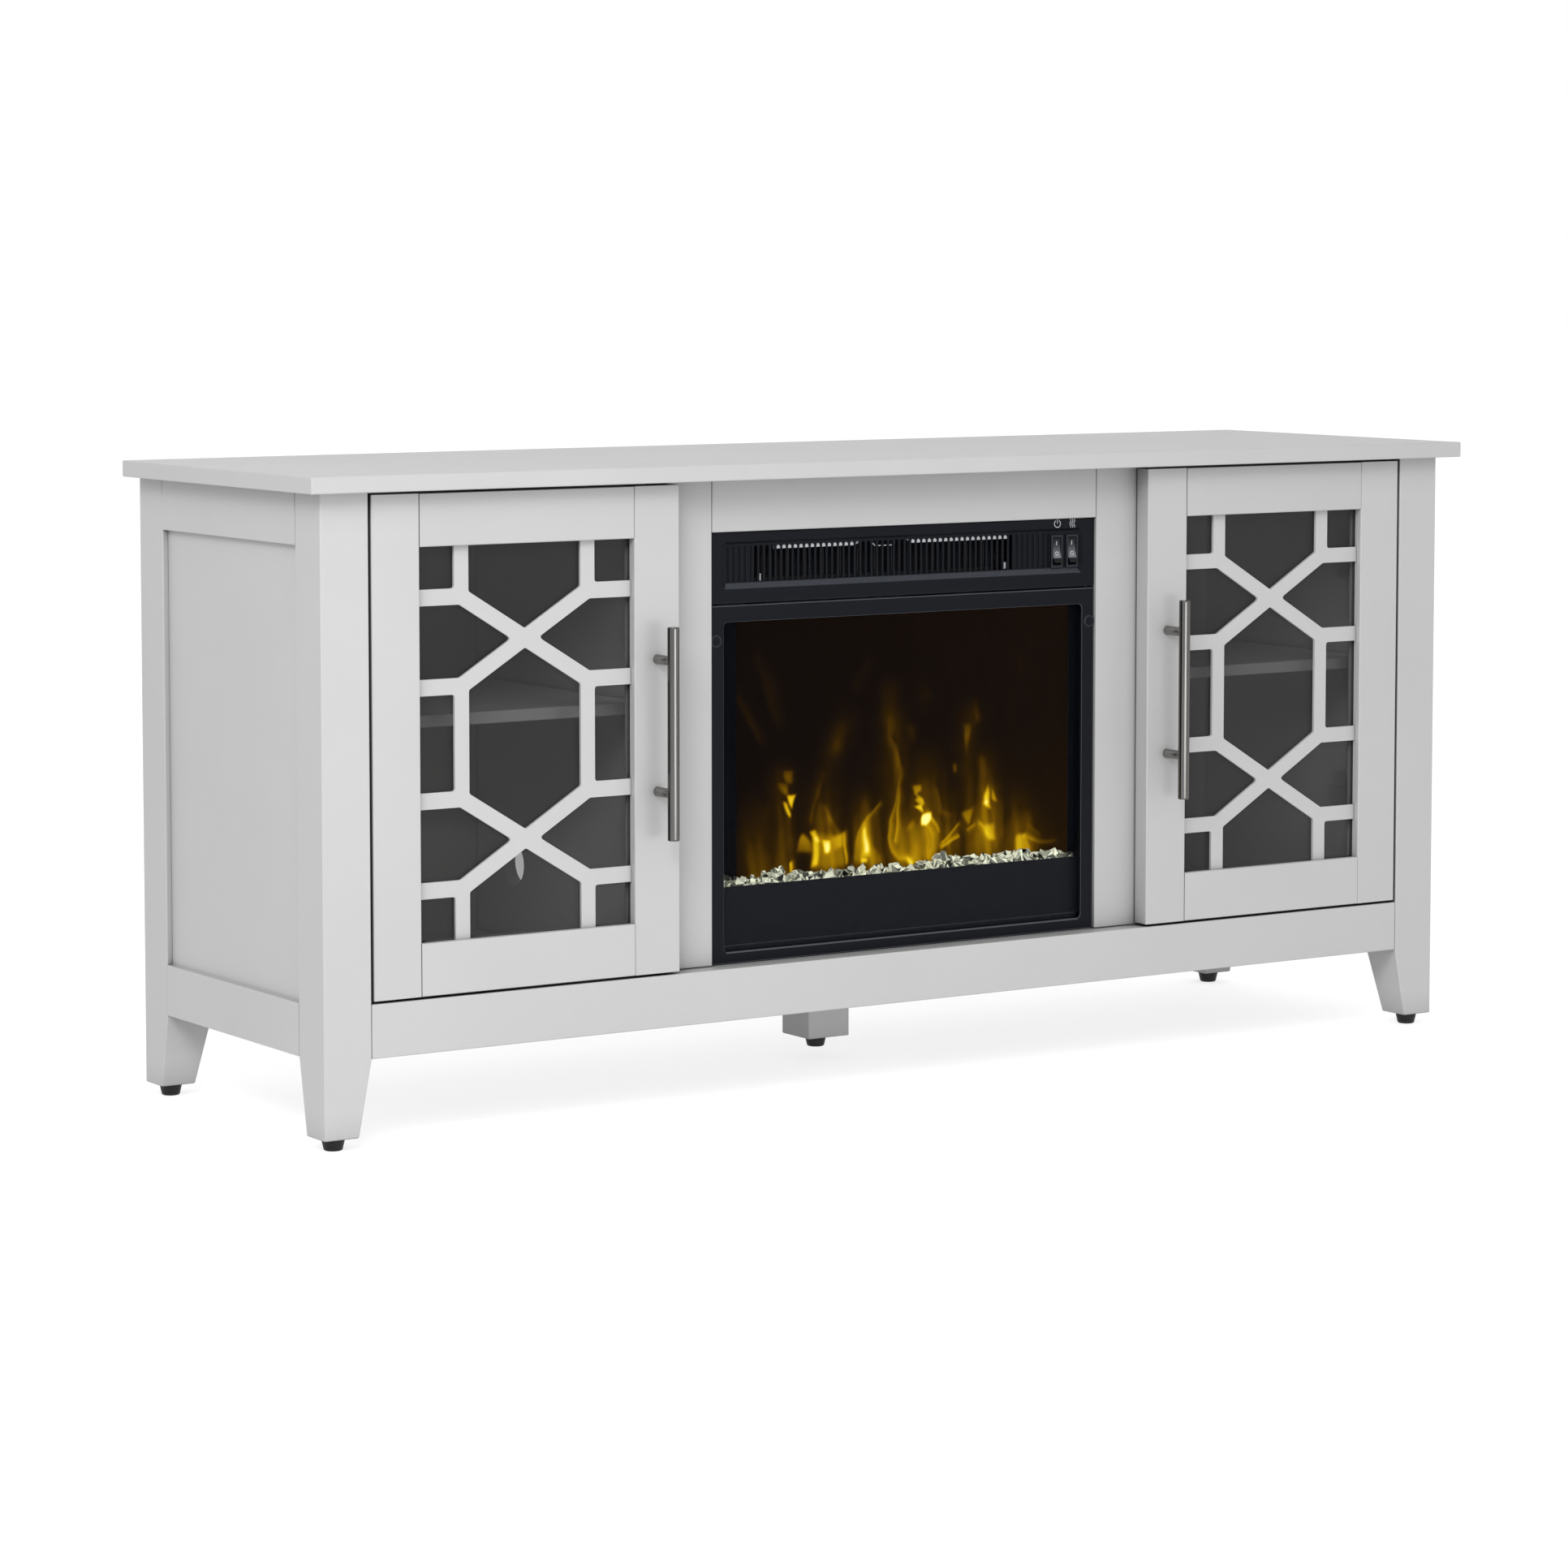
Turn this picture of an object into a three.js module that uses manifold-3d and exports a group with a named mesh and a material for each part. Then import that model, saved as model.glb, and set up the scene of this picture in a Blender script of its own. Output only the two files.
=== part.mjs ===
import * as THREE from 'three';
import { mergeVertices } from 'three/addons/utils/BufferGeometryUtils.js';
import Module from 'manifold-3d';

// Fireplace media stand: a painted cabinet on tapered legs, with two fretwork glass doors
// and an electric fire between them. Millimetres, +Z up, front towards -Y.

// Overall sizes
const standWidth = 1384.3;
const standDepth = 400;
const topThickness = 16;
const legHeight = 603;
const sideOverhang = 18.4;
const frontOverhang = 19.2;

// Gap between fitted pieces, and the small chamfer on painted edges
const seam = 0.3;
const arris = 0.8;

// Legs and the glides under them
const legSection = 50.3;
const legToe = 36.5;
const glideHeight = 12;
const glideTopRadius = 11.4;
const glideBottomRadius = 9.2;
const glideRound = 1.8;

// Centre leg and its screw-in leveller
const centreLegSection = 50.3;
const centreLegLift = 12;
const levellerStemRadius = 4;
const levellerStemLength = 34;
const levellerPlay = 0.3;

// Base, back and sides of the cabinet
const apronLift = 73;
const apronHeight = 51.5;
const apronThickness = 18;
const baseThickness = 16;
const backThickness = 3;
const backInset = 4;
const endThickness = 22;
const endRail = 50.6;
const endRecess = 6;
const sideBoardThickness = 15;
const dividerThickness = 15;

// Openings for cables and air
const cableHoleRadius = 22;
const cableHoleLift = 76;
const cableHoleFromBack = 84;
const backHoleRadius = 30;
const backVentMargin = 24;
const backVentCorner = 20;
const cutOverrun = 5;

// Shelves on pins
const shelfThickness = 12;
const shelfLift = 251;
const shelfSetback = 22;
const shelfBackGap = 33;
const shelfPlay = 0.5;
const pinRadius = 2.5;
const pinReach = 8;
const pinInset = 30;

// Doors
const doorThickness = 19;
const doorSideGap = 3;
const doorTopGap = 3;
const doorBottomGap = 2.5;
const doorBackGap = 2.2;
const doorStopOverlap = 15.2;
const stileWidth = 50.6;
const railHeight = 50.3;
const frontLip = 7;
const grooveDepth = 8;
const panelFit = 0.4;

// Fretwork and glass in each door
const fretThickness = 3;
const fretBar = 15.5;
const fretCorner = 3;
const fretReveal = 0.6;
const fretColumnShare = 0.588;
const fretOuterRowShare = 0.741;
const fretInnerRowShare = 0.287;
const doorGlassThickness = 4;

// Bar handles
const handleRadius = 5.8;
const handleChamfer = 0.9;
const handleStandoff = 29.2;
const postRadius = 4.7;
const postSpacing = 128;
const handleAbovePost = 33;
const handleBelowPost = 45;
const handleRise = 4.9;

// Concealed hinges
const hingeOffset = 131;
const cupRadius = 17.5;
const cupDepth = 11.5;
const cupEdge = 22.5;
const cupWall = 1.2;
const cupPlay = 0.3;
const earLength = 62;
const earWidth = 15;
const earThickness = 1.2;
const hingePinRadius = 1.8;
const armWidth = 16;
const armThickness = 6;
const armNose = 11;
const armLand = 4;
const armReach = 74;
const plateLength = 34;
const plateHeight = 48;
const plateThickness = 2.5;

// Face frame round the electric fire
const faceThickness = 18;
const faceStileShow = 50.65;
const faceRailHeight = 52.3;

// Electric fire: outside
const insertWidth = 467.2;
const insertPlay = 0.5;
const insertRecess = 3.6;
const fasciaThickness = 8;
const bezelHeight = 70.2;
const bezelGap = 1.3;

// Electric fire: window
const windowSide = 15.2;
const windowBottom = 11.6;
const windowTop = 16.6;
const windowCorner = 5;
const windowLip = 2.5;
const glassRebate = 6;
const fireGlassThickness = 4;

// Electric fire: heater outlet
const outletSide = 13;
const outletBottom = 14.2;
const outletTop = 9.4;
const outletDepth = 4;
const outletSideSlope = 3;
const outletBottomSlope = 5.6;
const outletTopSlope = 3;
const outletCorner = 4;
const louvreWidth = 4.4;
const louvrePitch = 6.726;
const louvreFromLeft = 21.4;
const louvreRise = 0.8;
const louvreHead = 1.6;
const louvreWall = 1.8;
const pocketMargin = 1;
const blindGrooveDepth = 1.4;
const blindLeft = 5;
const openLouvres = 47;
const blindRight = 7;

// Electric fire: rocker switches
const switchWidth = 14.8;
const switchHeight = 34;
const switchProud = 2;
const switchCorner = 1.6;
const switchBodyDepth = 14;
const switchBodyWall = 1.6;
const switchPitch = 19.3;
const switchFromRight = 26.5;
const rockerWidth = 9.3;
const rockerHalfHeight = 12.3;
const rockerPlay = 0.35;
const rockerEndPlay = 1.2;
const rockerPivotDepth = 4;
const rockerProud = 1.5;
const rockerHollow = 2.1;
const rockerBack = 5;
const rockerTilt = THREE.MathUtils.degToRad(9);

// Electric fire: housing and what it holds
const housingDepth = 198;
const housingInset = 5.6;
const housingWall = 1.5;
const heatRoomHeight = 80.4;
const trayLift = 62;
const trayFrontLift = 16;
const trayFrontTop = 75;
const trayDepth = 25;
const sheet = 1.2;
const chipHeight = 10;
const chipPitch = 9;
const chipWaveShare = 0.25;
const trayLipHeight = 7;
const screenThickness = 2.5;
const spindleDepth = 96;
const spindleLift = 96;
const spindleRadius = 3;
const petalRadius = 17;
const petalLength = 26;
const petalCount = 14;
const petalTurn = THREE.MathUtils.degToRad(52);
const bushRadius = 8;
const bushLength = 9;
const wheelDepth = 60;
const wheelRadius = 22;
const wheelLeftGap = 55.5;
const motorRightGap = 62.9;
const wheelShaftRadius = 3;
const wheelDisc = 2;
const bladeCount = 14;
const bladeDepth = 8;
const bladeThickness = 1;
const bladeTilt = THREE.MathUtils.degToRad(28);
const motorRadius = 21;
const motorLength = 42;
const flameMotorRadius = 24;
const flameMotorLength = 18;
const elementDepth = 16;
const elementSetback = 5;
const elementHeight = 37.5;
const elementTopGap = 5.6;
const elementFins = 29;
const finThickness = 1.2;
const ventSlots = 12;
const ventSlotWidth = 6;
const ventSlotHeight = 34;
const ventSlotPitch = 24;
const glandRadius = 9;
const glandBore = 3.6;
const glandLength = 10;

// Facet counts
const roundSides = 20;
const smallSides = 12;
const glideSides = 16;
const cornerSteps = 3;

// Planes and edges that several pieces share
const legOuter = standWidth / 2 - sideOverhang;
const legInner = legOuter - legSection;
const frontPlane = frontOverhang;
const ledge = apronLift + apronHeight;
const carcassTop = legHeight - seam;
const backFront = standDepth - backInset - backThickness;
const boardBack = backFront - seam;
const sideFront = frontPlane + legSection + seam;
const sideBack = standDepth - legSection - seam;
const doorBottom = ledge + doorBottomGap;
const doorHeight = legHeight - doorTopGap - doorBottom;
const hingeEdge = legInner - doorSideGap;
const openingHalf = insertWidth / 2 + insertPlay;
const doorInner = openingHalf + faceStileShow;
const doorWidth = hingeEdge - doorInner;
const facePlane = frontPlane + doorThickness + doorBackGap;
const faceBack = facePlane + faceThickness;
const dividerOuter = doorInner + doorStopOverlap;
const dividerInner = dividerOuter - dividerThickness;
const openingTop = legHeight - faceRailHeight;
const insertHeight = openingTop - insertPlay - ledge - seam;
const partitionLift = insertHeight - heatRoomHeight;
const shelfBottom = ledge + shelfLift;
const fretFront = frontLip + seam;
const glassFront = fretFront + fretThickness + seam;
const handleFront = handleStandoff + handleRadius - frontPlane;

const wasm = await Module();
wasm.setup();

// Geometry helpers

function flat(geometry) {
  const open = geometry.index ? geometry.toNonIndexed() : geometry;
  open.deleteAttribute('uv');
  open.deleteAttribute('normal');
  open.computeVertexNormals();
  return open;
}

function mirrored(geometry) {
  const copy = flat(geometry.clone());
  const position = copy.attributes.position;
  for (let i = 0; i < position.count; i += 3) {
    const corners = [0, 2, 1].map(k => new THREE.Vector3().fromBufferAttribute(position, i + k));
    corners.forEach((corner, k) => position.setXYZ(i + k, -corner.x, corner.y, corner.z));
  }
  copy.computeVertexNormals();
  return copy;
}

function toSolid(geometry) {
  const bare = geometry.clone();
  bare.deleteAttribute('normal');
  bare.deleteAttribute('uv');
  const merged = mergeVertices(bare);
  const vertProperties = new Float32Array(merged.attributes.position.array);
  const triVerts = new Uint32Array(merged.index.array);
  return new wasm.Manifold(new wasm.Mesh({ numProp: 3, vertProperties, triVerts }));
}

function fromSolid(solid) {
  const mesh = solid.getMesh();
  const geometry = new THREE.BufferGeometry();
  geometry.setAttribute('position', new THREE.BufferAttribute(mesh.vertProperties, 3));
  geometry.setIndex(new THREE.BufferAttribute(mesh.triVerts, 1));
  return flat(geometry);
}

function cut(body, ...tools) {
  return fromSolid(tools.reduce((solid, tool) => solid.subtract(toSolid(tool)), toSolid(body)));
}

function join(body, ...others) {
  return fromSolid(others.reduce((solid, other) => solid.add(toSolid(other)), toSolid(body)));
}

function box(x0, x1, y0, y1, z0, z1) {
  const geometry = new THREE.BoxGeometry(x1 - x0, y1 - y0, z1 - z0);
  return geometry.translate((x0 + x1) / 2, (y0 + y1) / 2, (z0 + z1) / 2);
}

// Skin over a stack of outlines that all have the same number of points
function loft(rings) {
  const sides = rings[0].length;
  const points = [];
  for (let level = 0; level + 1 < rings.length; level += 1) {
    for (let i = 0; i < sides; i += 1) {
      const j = (i + 1) % sides;
      const [a, b] = [rings[level][i], rings[level][j]];
      const [c, d] = [rings[level + 1][j], rings[level + 1][i]];
      points.push(a, b, c, a, c, d);
    }
  }
  const [first, last] = [rings[0], rings[rings.length - 1]];
  for (let i = 1; i + 1 < sides; i += 1) {
    points.push(first[0], first[i + 1], first[i]);
    points.push(last[0], last[i], last[i + 1]);
  }
  return flat(new THREE.BufferGeometry().setFromPoints(points));
}

// Rectangle with its four corners cut off, as a ring at height z
function chamferedRing(x0, x1, y0, y1, z, chamfer) {
  return [
    [x0 + chamfer, y0], [x1 - chamfer, y0], [x1, y0 + chamfer], [x1, y1 - chamfer],
    [x1 - chamfer, y1], [x0 + chamfer, y1], [x0, y1 - chamfer], [x0, y0 + chamfer],
  ].map(([x, y]) => new THREE.Vector3(x, y, z));
}

// Painted board with every edge eased
function board(x0, x1, y0, y1, z0, z1, ease = arris) {
  const end = z => chamferedRing(x0 + ease, x1 - ease, y0 + ease, y1 - ease, z, ease / 2);
  const full = z => chamferedRing(x0, x1, y0, y1, z, ease);
  return loft([end(z0), full(z0 + ease), full(z1 - ease), end(z1)]);
}

// Closed outline with its corners rounded by their own radii
function roundedOutline(corners, radii, Outline = THREE.Shape) {
  const outline = new Outline();
  const count = corners.length;
  corners.forEach((corner, i) => {
    const before = corners[(i + count - 1) % count].clone().sub(corner);
    const after = corners[(i + 1) % count].clone().sub(corner);
    const radius = radii[i];
    if (radius === 0) {
      if (i === 0) outline.moveTo(corner.x, corner.y);
      else outline.lineTo(corner.x, corner.y);
      return;
    }
    const half = Math.abs(before.angleTo(after)) / 2;
    const reach = Math.min(radius / Math.tan(half), before.length() / 2, after.length() / 2);
    const start = corner.clone().add(before.setLength(reach));
    const end = corner.clone().add(after.setLength(reach));
    if (i === 0) outline.moveTo(start.x, start.y);
    else outline.lineTo(start.x, start.y);
    outline.quadraticCurveTo(corner.x, corner.y, end.x, end.y);
  });
  outline.closePath();
  return outline;
}

function roundedRectangle(x0, x1, y0, y1, radius, Outline = THREE.Shape) {
  const corners = [[x0, y0], [x1, y0], [x1, y1], [x0, y1]].map(([x, y]) => new THREE.Vector2(x, y));
  return roundedOutline(corners, corners.map(() => radius), Outline);
}

function circle(x, y, radius, Outline = THREE.Path) {
  return new Outline().absarc(x, y, radius, 0, 2 * Math.PI, false);
}

function extruded(shape, depth, curveSegments = cornerSteps) {
  return new THREE.ExtrudeGeometry(shape, { depth, bevelEnabled: false, curveSegments });
}

// An outline drawn in X and Z, standing between two planes of Y
function upright(shape, y0, y1, curveSegments) {
  return extruded(shape, y1 - y0, curveSegments).rotateX(Math.PI / 2).translate(0, y1, 0);
}

// An outline drawn in Y and Z, running between two planes of X
function runAlongX(shape, x0, x1, curveSegments) {
  const [toY, toZ, toX] = [[0, 1, 0], [0, 0, 1], [1, 0, 0]].map(axis => new THREE.Vector3(...axis));
  const turn = new THREE.Matrix4().makeBasis(toY, toZ, toX);
  return extruded(shape, x1 - x0, curveSegments).applyMatrix4(turn).translate(x0, 0, 0);
}

// Solid of revolution about Z from a profile of [radius, height] pairs
function turned(profile, sides = roundSides) {
  const points = profile.map(([radius, height]) => new THREE.Vector2(radius, height));
  return new THREE.LatheGeometry(points, sides).rotateX(Math.PI / 2);
}

function rod(radius, length, sides = roundSides) {
  return turned([[0, 0], [radius, 0], [radius, length], [0, length]], sides);
}

function rodAlongX(radius, x0, x1, sides = smallSides) {
  return rod(radius, x1 - x0, sides).rotateY(Math.PI / 2).translate(x0, 0, 0);
}

function rodAlongY(radius, y0, y1, sides = smallSides) {
  return rod(radius, y1 - y0, sides).rotateX(-Math.PI / 2).translate(0, y0, 0);
}

// Finishes: colour, roughness and metalness

const finishes = {
  paint: [0xe4e4e3, 0.45, 0],
  board: [0xd8d8d6, 0.6, 0],
  hardboard: [0xc9c8c4, 0.75, 0],
  nickel: [0x8e8a84, 0.32, 1],
  steel: [0x9a9c9e, 0.4, 1],
  smokedGlass: [0x3a3a3b, 0.06, 0],
  fireGlass: [0x14161a, 0.05, 0],
  blackMoulding: [0x1f2126, 0.48, 0],
  blackSheet: [0x1a1b1f, 0.55, 0.4],
  blackPlastic: [0x181818, 0.6, 0],
  amberScreen: [0x5a3a08, 0.3, 0],
  crystal: [0xd8dcc0, 0.08, 0],
  bright: [0xc8c8c8, 0.2, 1],
};

function mesh(parent, name, geometry, finish) {
  const [color, roughness, metalness] = finishes[finish];
  const material = new THREE.MeshStandardMaterial({ color, roughness, metalness });
  const piece = new THREE.Mesh(flat(geometry), material);
  piece.name = name;
  parent.add(piece);
  return piece;
}

// One piece on the right and its mirror image on the left; * in the name becomes the side
function pair(parent, name, geometry, finish) {
  mesh(parent, name.replace('*', 'right'), geometry, finish);
  mesh(parent, name.replace('*', 'left'), mirrored(geometry), finish);
}

// Cabinet

function legRing(section, z, ease, back) {
  const [y0, y1] = back ? [standDepth - section, standDepth] : [frontPlane, frontPlane + section];
  const [x0, x1] = [legOuter - section + ease, legOuter - ease];
  return chamferedRing(x0, x1, y0 + ease, y1 - ease, z, arris);
}

function leg(back) {
  return loft([
    legRing(legToe, 0, arris, back),
    legRing(legToe, arris, 0, back),
    legRing(legSection, apronLift, 0, back),
    legRing(legSection, carcassTop, 0, back),
  ]);
}

function glide(stem) {
  const top = glideHeight - seam;
  const outline = [
    [0, 0],
    [glideBottomRadius - glideRound, 0],
    [glideBottomRadius, glideRound],
    [glideTopRadius, top - arris],
    [glideTopRadius - arris, top],
  ];
  if (stem > 0) outline.push([levellerStemRadius, top], [levellerStemRadius, top + stem], [0, top + stem]);
  else outline.push([0, top]);
  return turned(outline, glideSides);
}

function addLegs(stand) {
  pair(stand, 'front_*_leg', leg(false), 'paint');
  pair(stand, 'rear_*_leg', leg(true), 'paint');
  const toeX = legOuter - legToe / 2;
  const frontGlide = glide(0).translate(toeX, frontPlane + legToe / 2, -glideHeight);
  const rearGlide = glide(0).translate(toeX, standDepth - legToe / 2, -glideHeight);
  pair(stand, 'front_*_glide', frontGlide, 'blackPlastic');
  pair(stand, 'rear_*_glide', rearGlide, 'blackPlastic');
}

function addCentreLeg(stand) {
  const half = centreLegSection / 2;
  const centreY = (frontPlane + standDepth) / 2;
  const top = ledge - baseThickness - seam;
  const block = board(-half, half, centreY - half, centreY + half, centreLegLift, top);
  const boreTop = centreLegLift + levellerStemLength + levellerPlay;
  const bore = rod(levellerStemRadius + levellerPlay, boreTop - centreLegLift + cutOverrun, smallSides);
  bore.translate(0, centreY, centreLegLift - cutOverrun);
  mesh(stand, 'centre_leg', cut(block, bore), 'paint');
  const leveller = mesh(stand, 'centre_leveller', glide(levellerStemLength), 'blackPlastic');
  leveller.position.set(0, centreY, centreLegLift - glideHeight);
}

// End board: thick along its top and bottom edges, recessed between them
function endBoard() {
  const [inner, outer] = [legOuter - endThickness, legOuter];
  const outline = new THREE.Shape([
    [inner, apronLift],
    [outer - arris, apronLift],
    [outer, apronLift + arris],
    [outer, apronLift + endRail - arris],
    [outer - arris, apronLift + endRail],
    [outer - endRecess, apronLift + endRail],
    [outer - endRecess, legHeight - endRail],
    [outer - arris, legHeight - endRail],
    [outer, legHeight - endRail + arris],
    [outer, carcassTop],
    [inner, carcassTop],
  ].map(([x, z]) => new THREE.Vector2(x, z)));
  return upright(outline, sideFront, sideBack);
}

function shelfPins(x0, x1) {
  const [front, back] = [facePlane + shelfSetback, boardBack - shelfBackGap];
  return [front + pinInset, back - pinInset].map(y => {
    return rodAlongX(pinRadius, x0, x1).translate(0, y, shelfBottom - seam - pinRadius);
  });
}

function divider() {
  const bare = box(dividerInner, dividerOuter, faceBack + seam, boardBack, ledge + seam, carcassTop);
  const hole = rodAlongX(cableHoleRadius, dividerInner - cutOverrun, dividerOuter + cutOverrun, roundSides);
  hole.translate(0, standDepth - cableHoleFromBack, ledge + cableHoleLift);
  return join(cut(bare, hole), ...shelfPins(dividerOuter - pinReach, dividerOuter + pinReach));
}

function sideBoard() {
  const outer = legInner + sideBoardThickness;
  const bare = box(legInner, outer, sideFront, sideBack, ledge - baseThickness, carcassTop);
  return join(bare, ...shelfPins(legInner - pinReach, legInner + pinReach));
}

function backBoard() {
  const half = legInner - seam;
  const outline = roundedRectangle(-half, half, ledge - baseThickness, carcassTop, 0);
  const ventHalf = dividerInner - backVentMargin;
  const [ventBottom, ventTop] = [ledge + backVentMargin, legHeight - endRail - backVentMargin / 2];
  outline.holes.push(roundedRectangle(-ventHalf, ventHalf, ventBottom, ventTop, backVentCorner, THREE.Path));
  const bayCentre = (dividerOuter + legInner) / 2;
  for (const x of [-bayCentre, bayCentre]) {
    outline.holes.push(circle(x, ledge + cableHoleLift, backHoleRadius));
  }
  return upright(outline, backFront, backFront + backThickness, roundSides / 2);
}

function addCabinet(stand) {
  const top = legHeight + topThickness;
  mesh(stand, 'top_panel', board(-standWidth / 2, standWidth / 2, 0, standDepth, legHeight, top), 'paint');
  const between = legInner - seam;
  const apron = board(-between, between, frontPlane, frontPlane + apronThickness, apronLift, ledge);
  mesh(stand, 'front_apron', apron, 'paint');
  const baseFront = frontPlane + apronThickness + seam;
  const base = box(-between, between, baseFront, boardBack, ledge - baseThickness, ledge);
  mesh(stand, 'base_panel', base, 'board');
  pair(stand, '*_end_panel', endBoard(), 'paint');
  pair(stand, '*_side_board', sideBoard(), 'board');
  pair(stand, '*_divider', divider(), 'board');
  const stile = board(openingHalf, dividerOuter, facePlane, faceBack, ledge + seam, carcassTop);
  pair(stand, '*_face_stile', stile, 'paint');
  const rail = openingHalf - seam;
  mesh(stand, 'face_top_rail', board(-rail, rail, facePlane, faceBack, openingTop, carcassTop), 'paint');
  const [shelfFront, shelfBack] = [facePlane + shelfSetback, boardBack - shelfBackGap];
  const [shelfLeft, shelfRight] = [dividerOuter + shelfPlay, legInner - shelfPlay];
  const shelfTop = shelfBottom + shelfThickness;
  const shelf = board(shelfLeft, shelfRight, shelfFront, shelfBack, shelfBottom, shelfTop);
  pair(stand, '*_shelf', shelf, 'board');
  mesh(stand, 'back_panel', backBoard(), 'hardboard');
}

// Doors: x runs from 0 at the hinge edge to -doorWidth, y from 0 at the front face

// Cross-section of a door member: width, then thickness, with the panel groove in one edge
function memberOutline(width) {
  const grooveBack = glassFront + doorGlassThickness + seam;
  return new THREE.Shape([
    [0, arris], [arris, 0],
    [width - arris, 0], [width, arris],
    [width, frontLip],
    [width - grooveDepth, frontLip],
    [width - grooveDepth, grooveBack],
    [width, grooveBack],
    [width, doorThickness],
    [0, doorThickness],
  ].map(([across, through]) => new THREE.Vector2(across, through)));
}

function stile() {
  return extruded(memberOutline(stileWidth), doorHeight);
}

function hingeStile() {
  const bores = [-hingeOffset, hingeOffset].map(offset => {
    const bore = rodAlongY(cupRadius, doorThickness - cupDepth, doorThickness + cutOverrun, roundSides);
    return bore.translate(-cupEdge, 0, doorHeight / 2 + offset);
  });
  return cut(mirrored(stile()), ...bores);
}

function handleStile() {
  return stile().translate(-doorWidth, 0, 0);
}

// Rail with its groove up or down and a tongue at each end in the stiles' grooves
function rail(top) {
  const [left, right] = [-doorWidth + stileWidth + seam, -stileWidth - seam];
  const outline = new THREE.Shape(memberOutline(railHeight).getPoints().map(point => {
    const height = top ? doorHeight - point.x : point.x;
    return new THREE.Vector2(point.y, height);
  }));
  const tongue = grooveDepth - seam;
  const [tongueFront, tongueBack] = [fretFront, glassFront + doorGlassThickness];
  const reach = railHeight - grooveDepth;
  const [z0, z1] = top ? [doorHeight - reach, doorHeight - arris] : [arris, reach];
  const tongues = box(left - tongue, right + tongue, tongueFront, tongueBack, z0, z1);
  return join(runAlongX(outline, left, right), tongues);
}

// Inset polygon: each side moves inwards by its own distance
function inset(corners, distances) {
  const count = corners.length;
  const lines = corners.map((corner, i) => {
    const along = corners[(i + 1) % count].clone().sub(corner).normalize();
    const inward = new THREE.Vector2(-along.y, along.x);
    return { point: corner.clone().addScaledVector(inward, distances[i]), along };
  });
  return corners.map((_, i) => {
    const [first, second] = [lines[(i + count - 1) % count], lines[i]];
    const between = second.point.clone().sub(first.point);
    const reach = between.cross(second.along) / first.along.cross(second.along);
    return first.point.clone().addScaledVector(first.along, reach);
  });
}

// One opening of the fretwork; a side marked 'frame' hides behind the door's frame
function fretCell(corners, sides) {
  const points = corners.map(([x, z]) => new THREE.Vector2(x, z));
  const distances = sides.map(side => (side === 'frame' ? -fretReveal : fretBar / 2));
  const radii = sides.map((side, i) => {
    const previous = sides[(i + sides.length - 1) % sides.length];
    return side === 'frame' || previous === 'frame' ? 0 : fretCorner;
  });
  return roundedOutline(inset(points, distances), radii);
}

function fretCells() {
  const [width, height] = [doorWidth / 2 - stileWidth, doorHeight / 2 - railHeight];
  const column = width * fretColumnShare;
  const [outerRow, innerRow] = [height * fretOuterRowShare, height * fretInnerRowShare];
  const cross = (outerRow + innerRow) / 2;
  const cells = [];
  for (const s of [-1, 1]) {
    const sided = (corners, sides) => {
      const points = corners.map(([x, z]) => [s * x, z]);
      if (s > 0) return fretCell(points, sides);
      const turnedSides = [...sides.slice(0, -1).reverse(), sides[sides.length - 1]];
      return fretCell(points.reverse(), turnedSides);
    };
    cells.push(sided(
      [[column, innerRow], [column, -innerRow], [width, -innerRow], [width, innerRow]],
      ['bar', 'bar', 'frame', 'bar'],
    ));
    for (const t of [-1, 1]) {
      const flip = (corners, sides) => {
        const points = corners.map(([x, z]) => [x, t * z]);
        if (t > 0) return sided(points, sides);
        const turnedSides = [...sides.slice(0, -1).reverse(), sides[sides.length - 1]];
        return sided(points.reverse(), turnedSides);
      };
      cells.push(flip(
        [[0, cross], [column, innerRow], [width, innerRow], [width, outerRow], [column, outerRow]],
        ['bar', 'bar', 'frame', 'bar', 'bar'],
      ));
      cells.push(flip(
        [[column, outerRow], [width, outerRow], [width, height], [column, height]],
        ['bar', 'frame', 'frame', 'bar'],
      ));
    }
  }
  const upper = [[0, cross], [column, outerRow], [column, height], [-column, height], [-column, outerRow]];
  const lower = upper.map(([x, z]) => [-x, -z]);
  for (const corners of [upper, lower]) {
    cells.push(fretCell(corners, ['bar', 'bar', 'frame', 'bar', 'bar']));
  }
  const leftHalf = [[0, cross], [-column, innerRow], [-column, -innerRow]];
  const rightHalf = leftHalf.map(([x, z]) => [-x, -z]);
  cells.push(fretCell([...leftHalf, ...rightHalf], ['bar', 'bar', 'bar', 'bar', 'bar', 'bar']));
  return cells;
}

function doorPanel(thickness, front, cells) {
  const half = doorWidth / 2 - stileWidth + grooveDepth - panelFit;
  const tall = doorHeight / 2 - railHeight + grooveDepth - panelFit;
  const sheetBlank = box(-half, half, front, front + thickness, -tall, tall);
  const tools = cells.map(cell => upright(cell, front - cutOverrun, front + thickness + cutOverrun));
  return cut(sheetBlank, ...tools).translate(-doorWidth / 2, 0, doorHeight / 2);
}

function handle() {
  const length = postSpacing + handleAbovePost + handleBelowPost;
  const bar = turned([
    [0, 0], [handleRadius - handleChamfer, 0], [handleRadius, handleChamfer],
    [handleRadius, length - handleChamfer], [handleRadius - handleChamfer, length], [0, length],
  ]);
  bar.translate(0, -handleStandoff, -handleBelowPost);
  const posts = [0, postSpacing].map(z => {
    return rodAlongY(postRadius, -handleStandoff, -seam, roundSides).translate(0, 0, z);
  });
  const lift = doorHeight / 2 + handleRise - postSpacing / 2;
  return join(bar, ...posts).translate(-doorWidth + stileWidth / 2, 0, lift);
}

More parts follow.
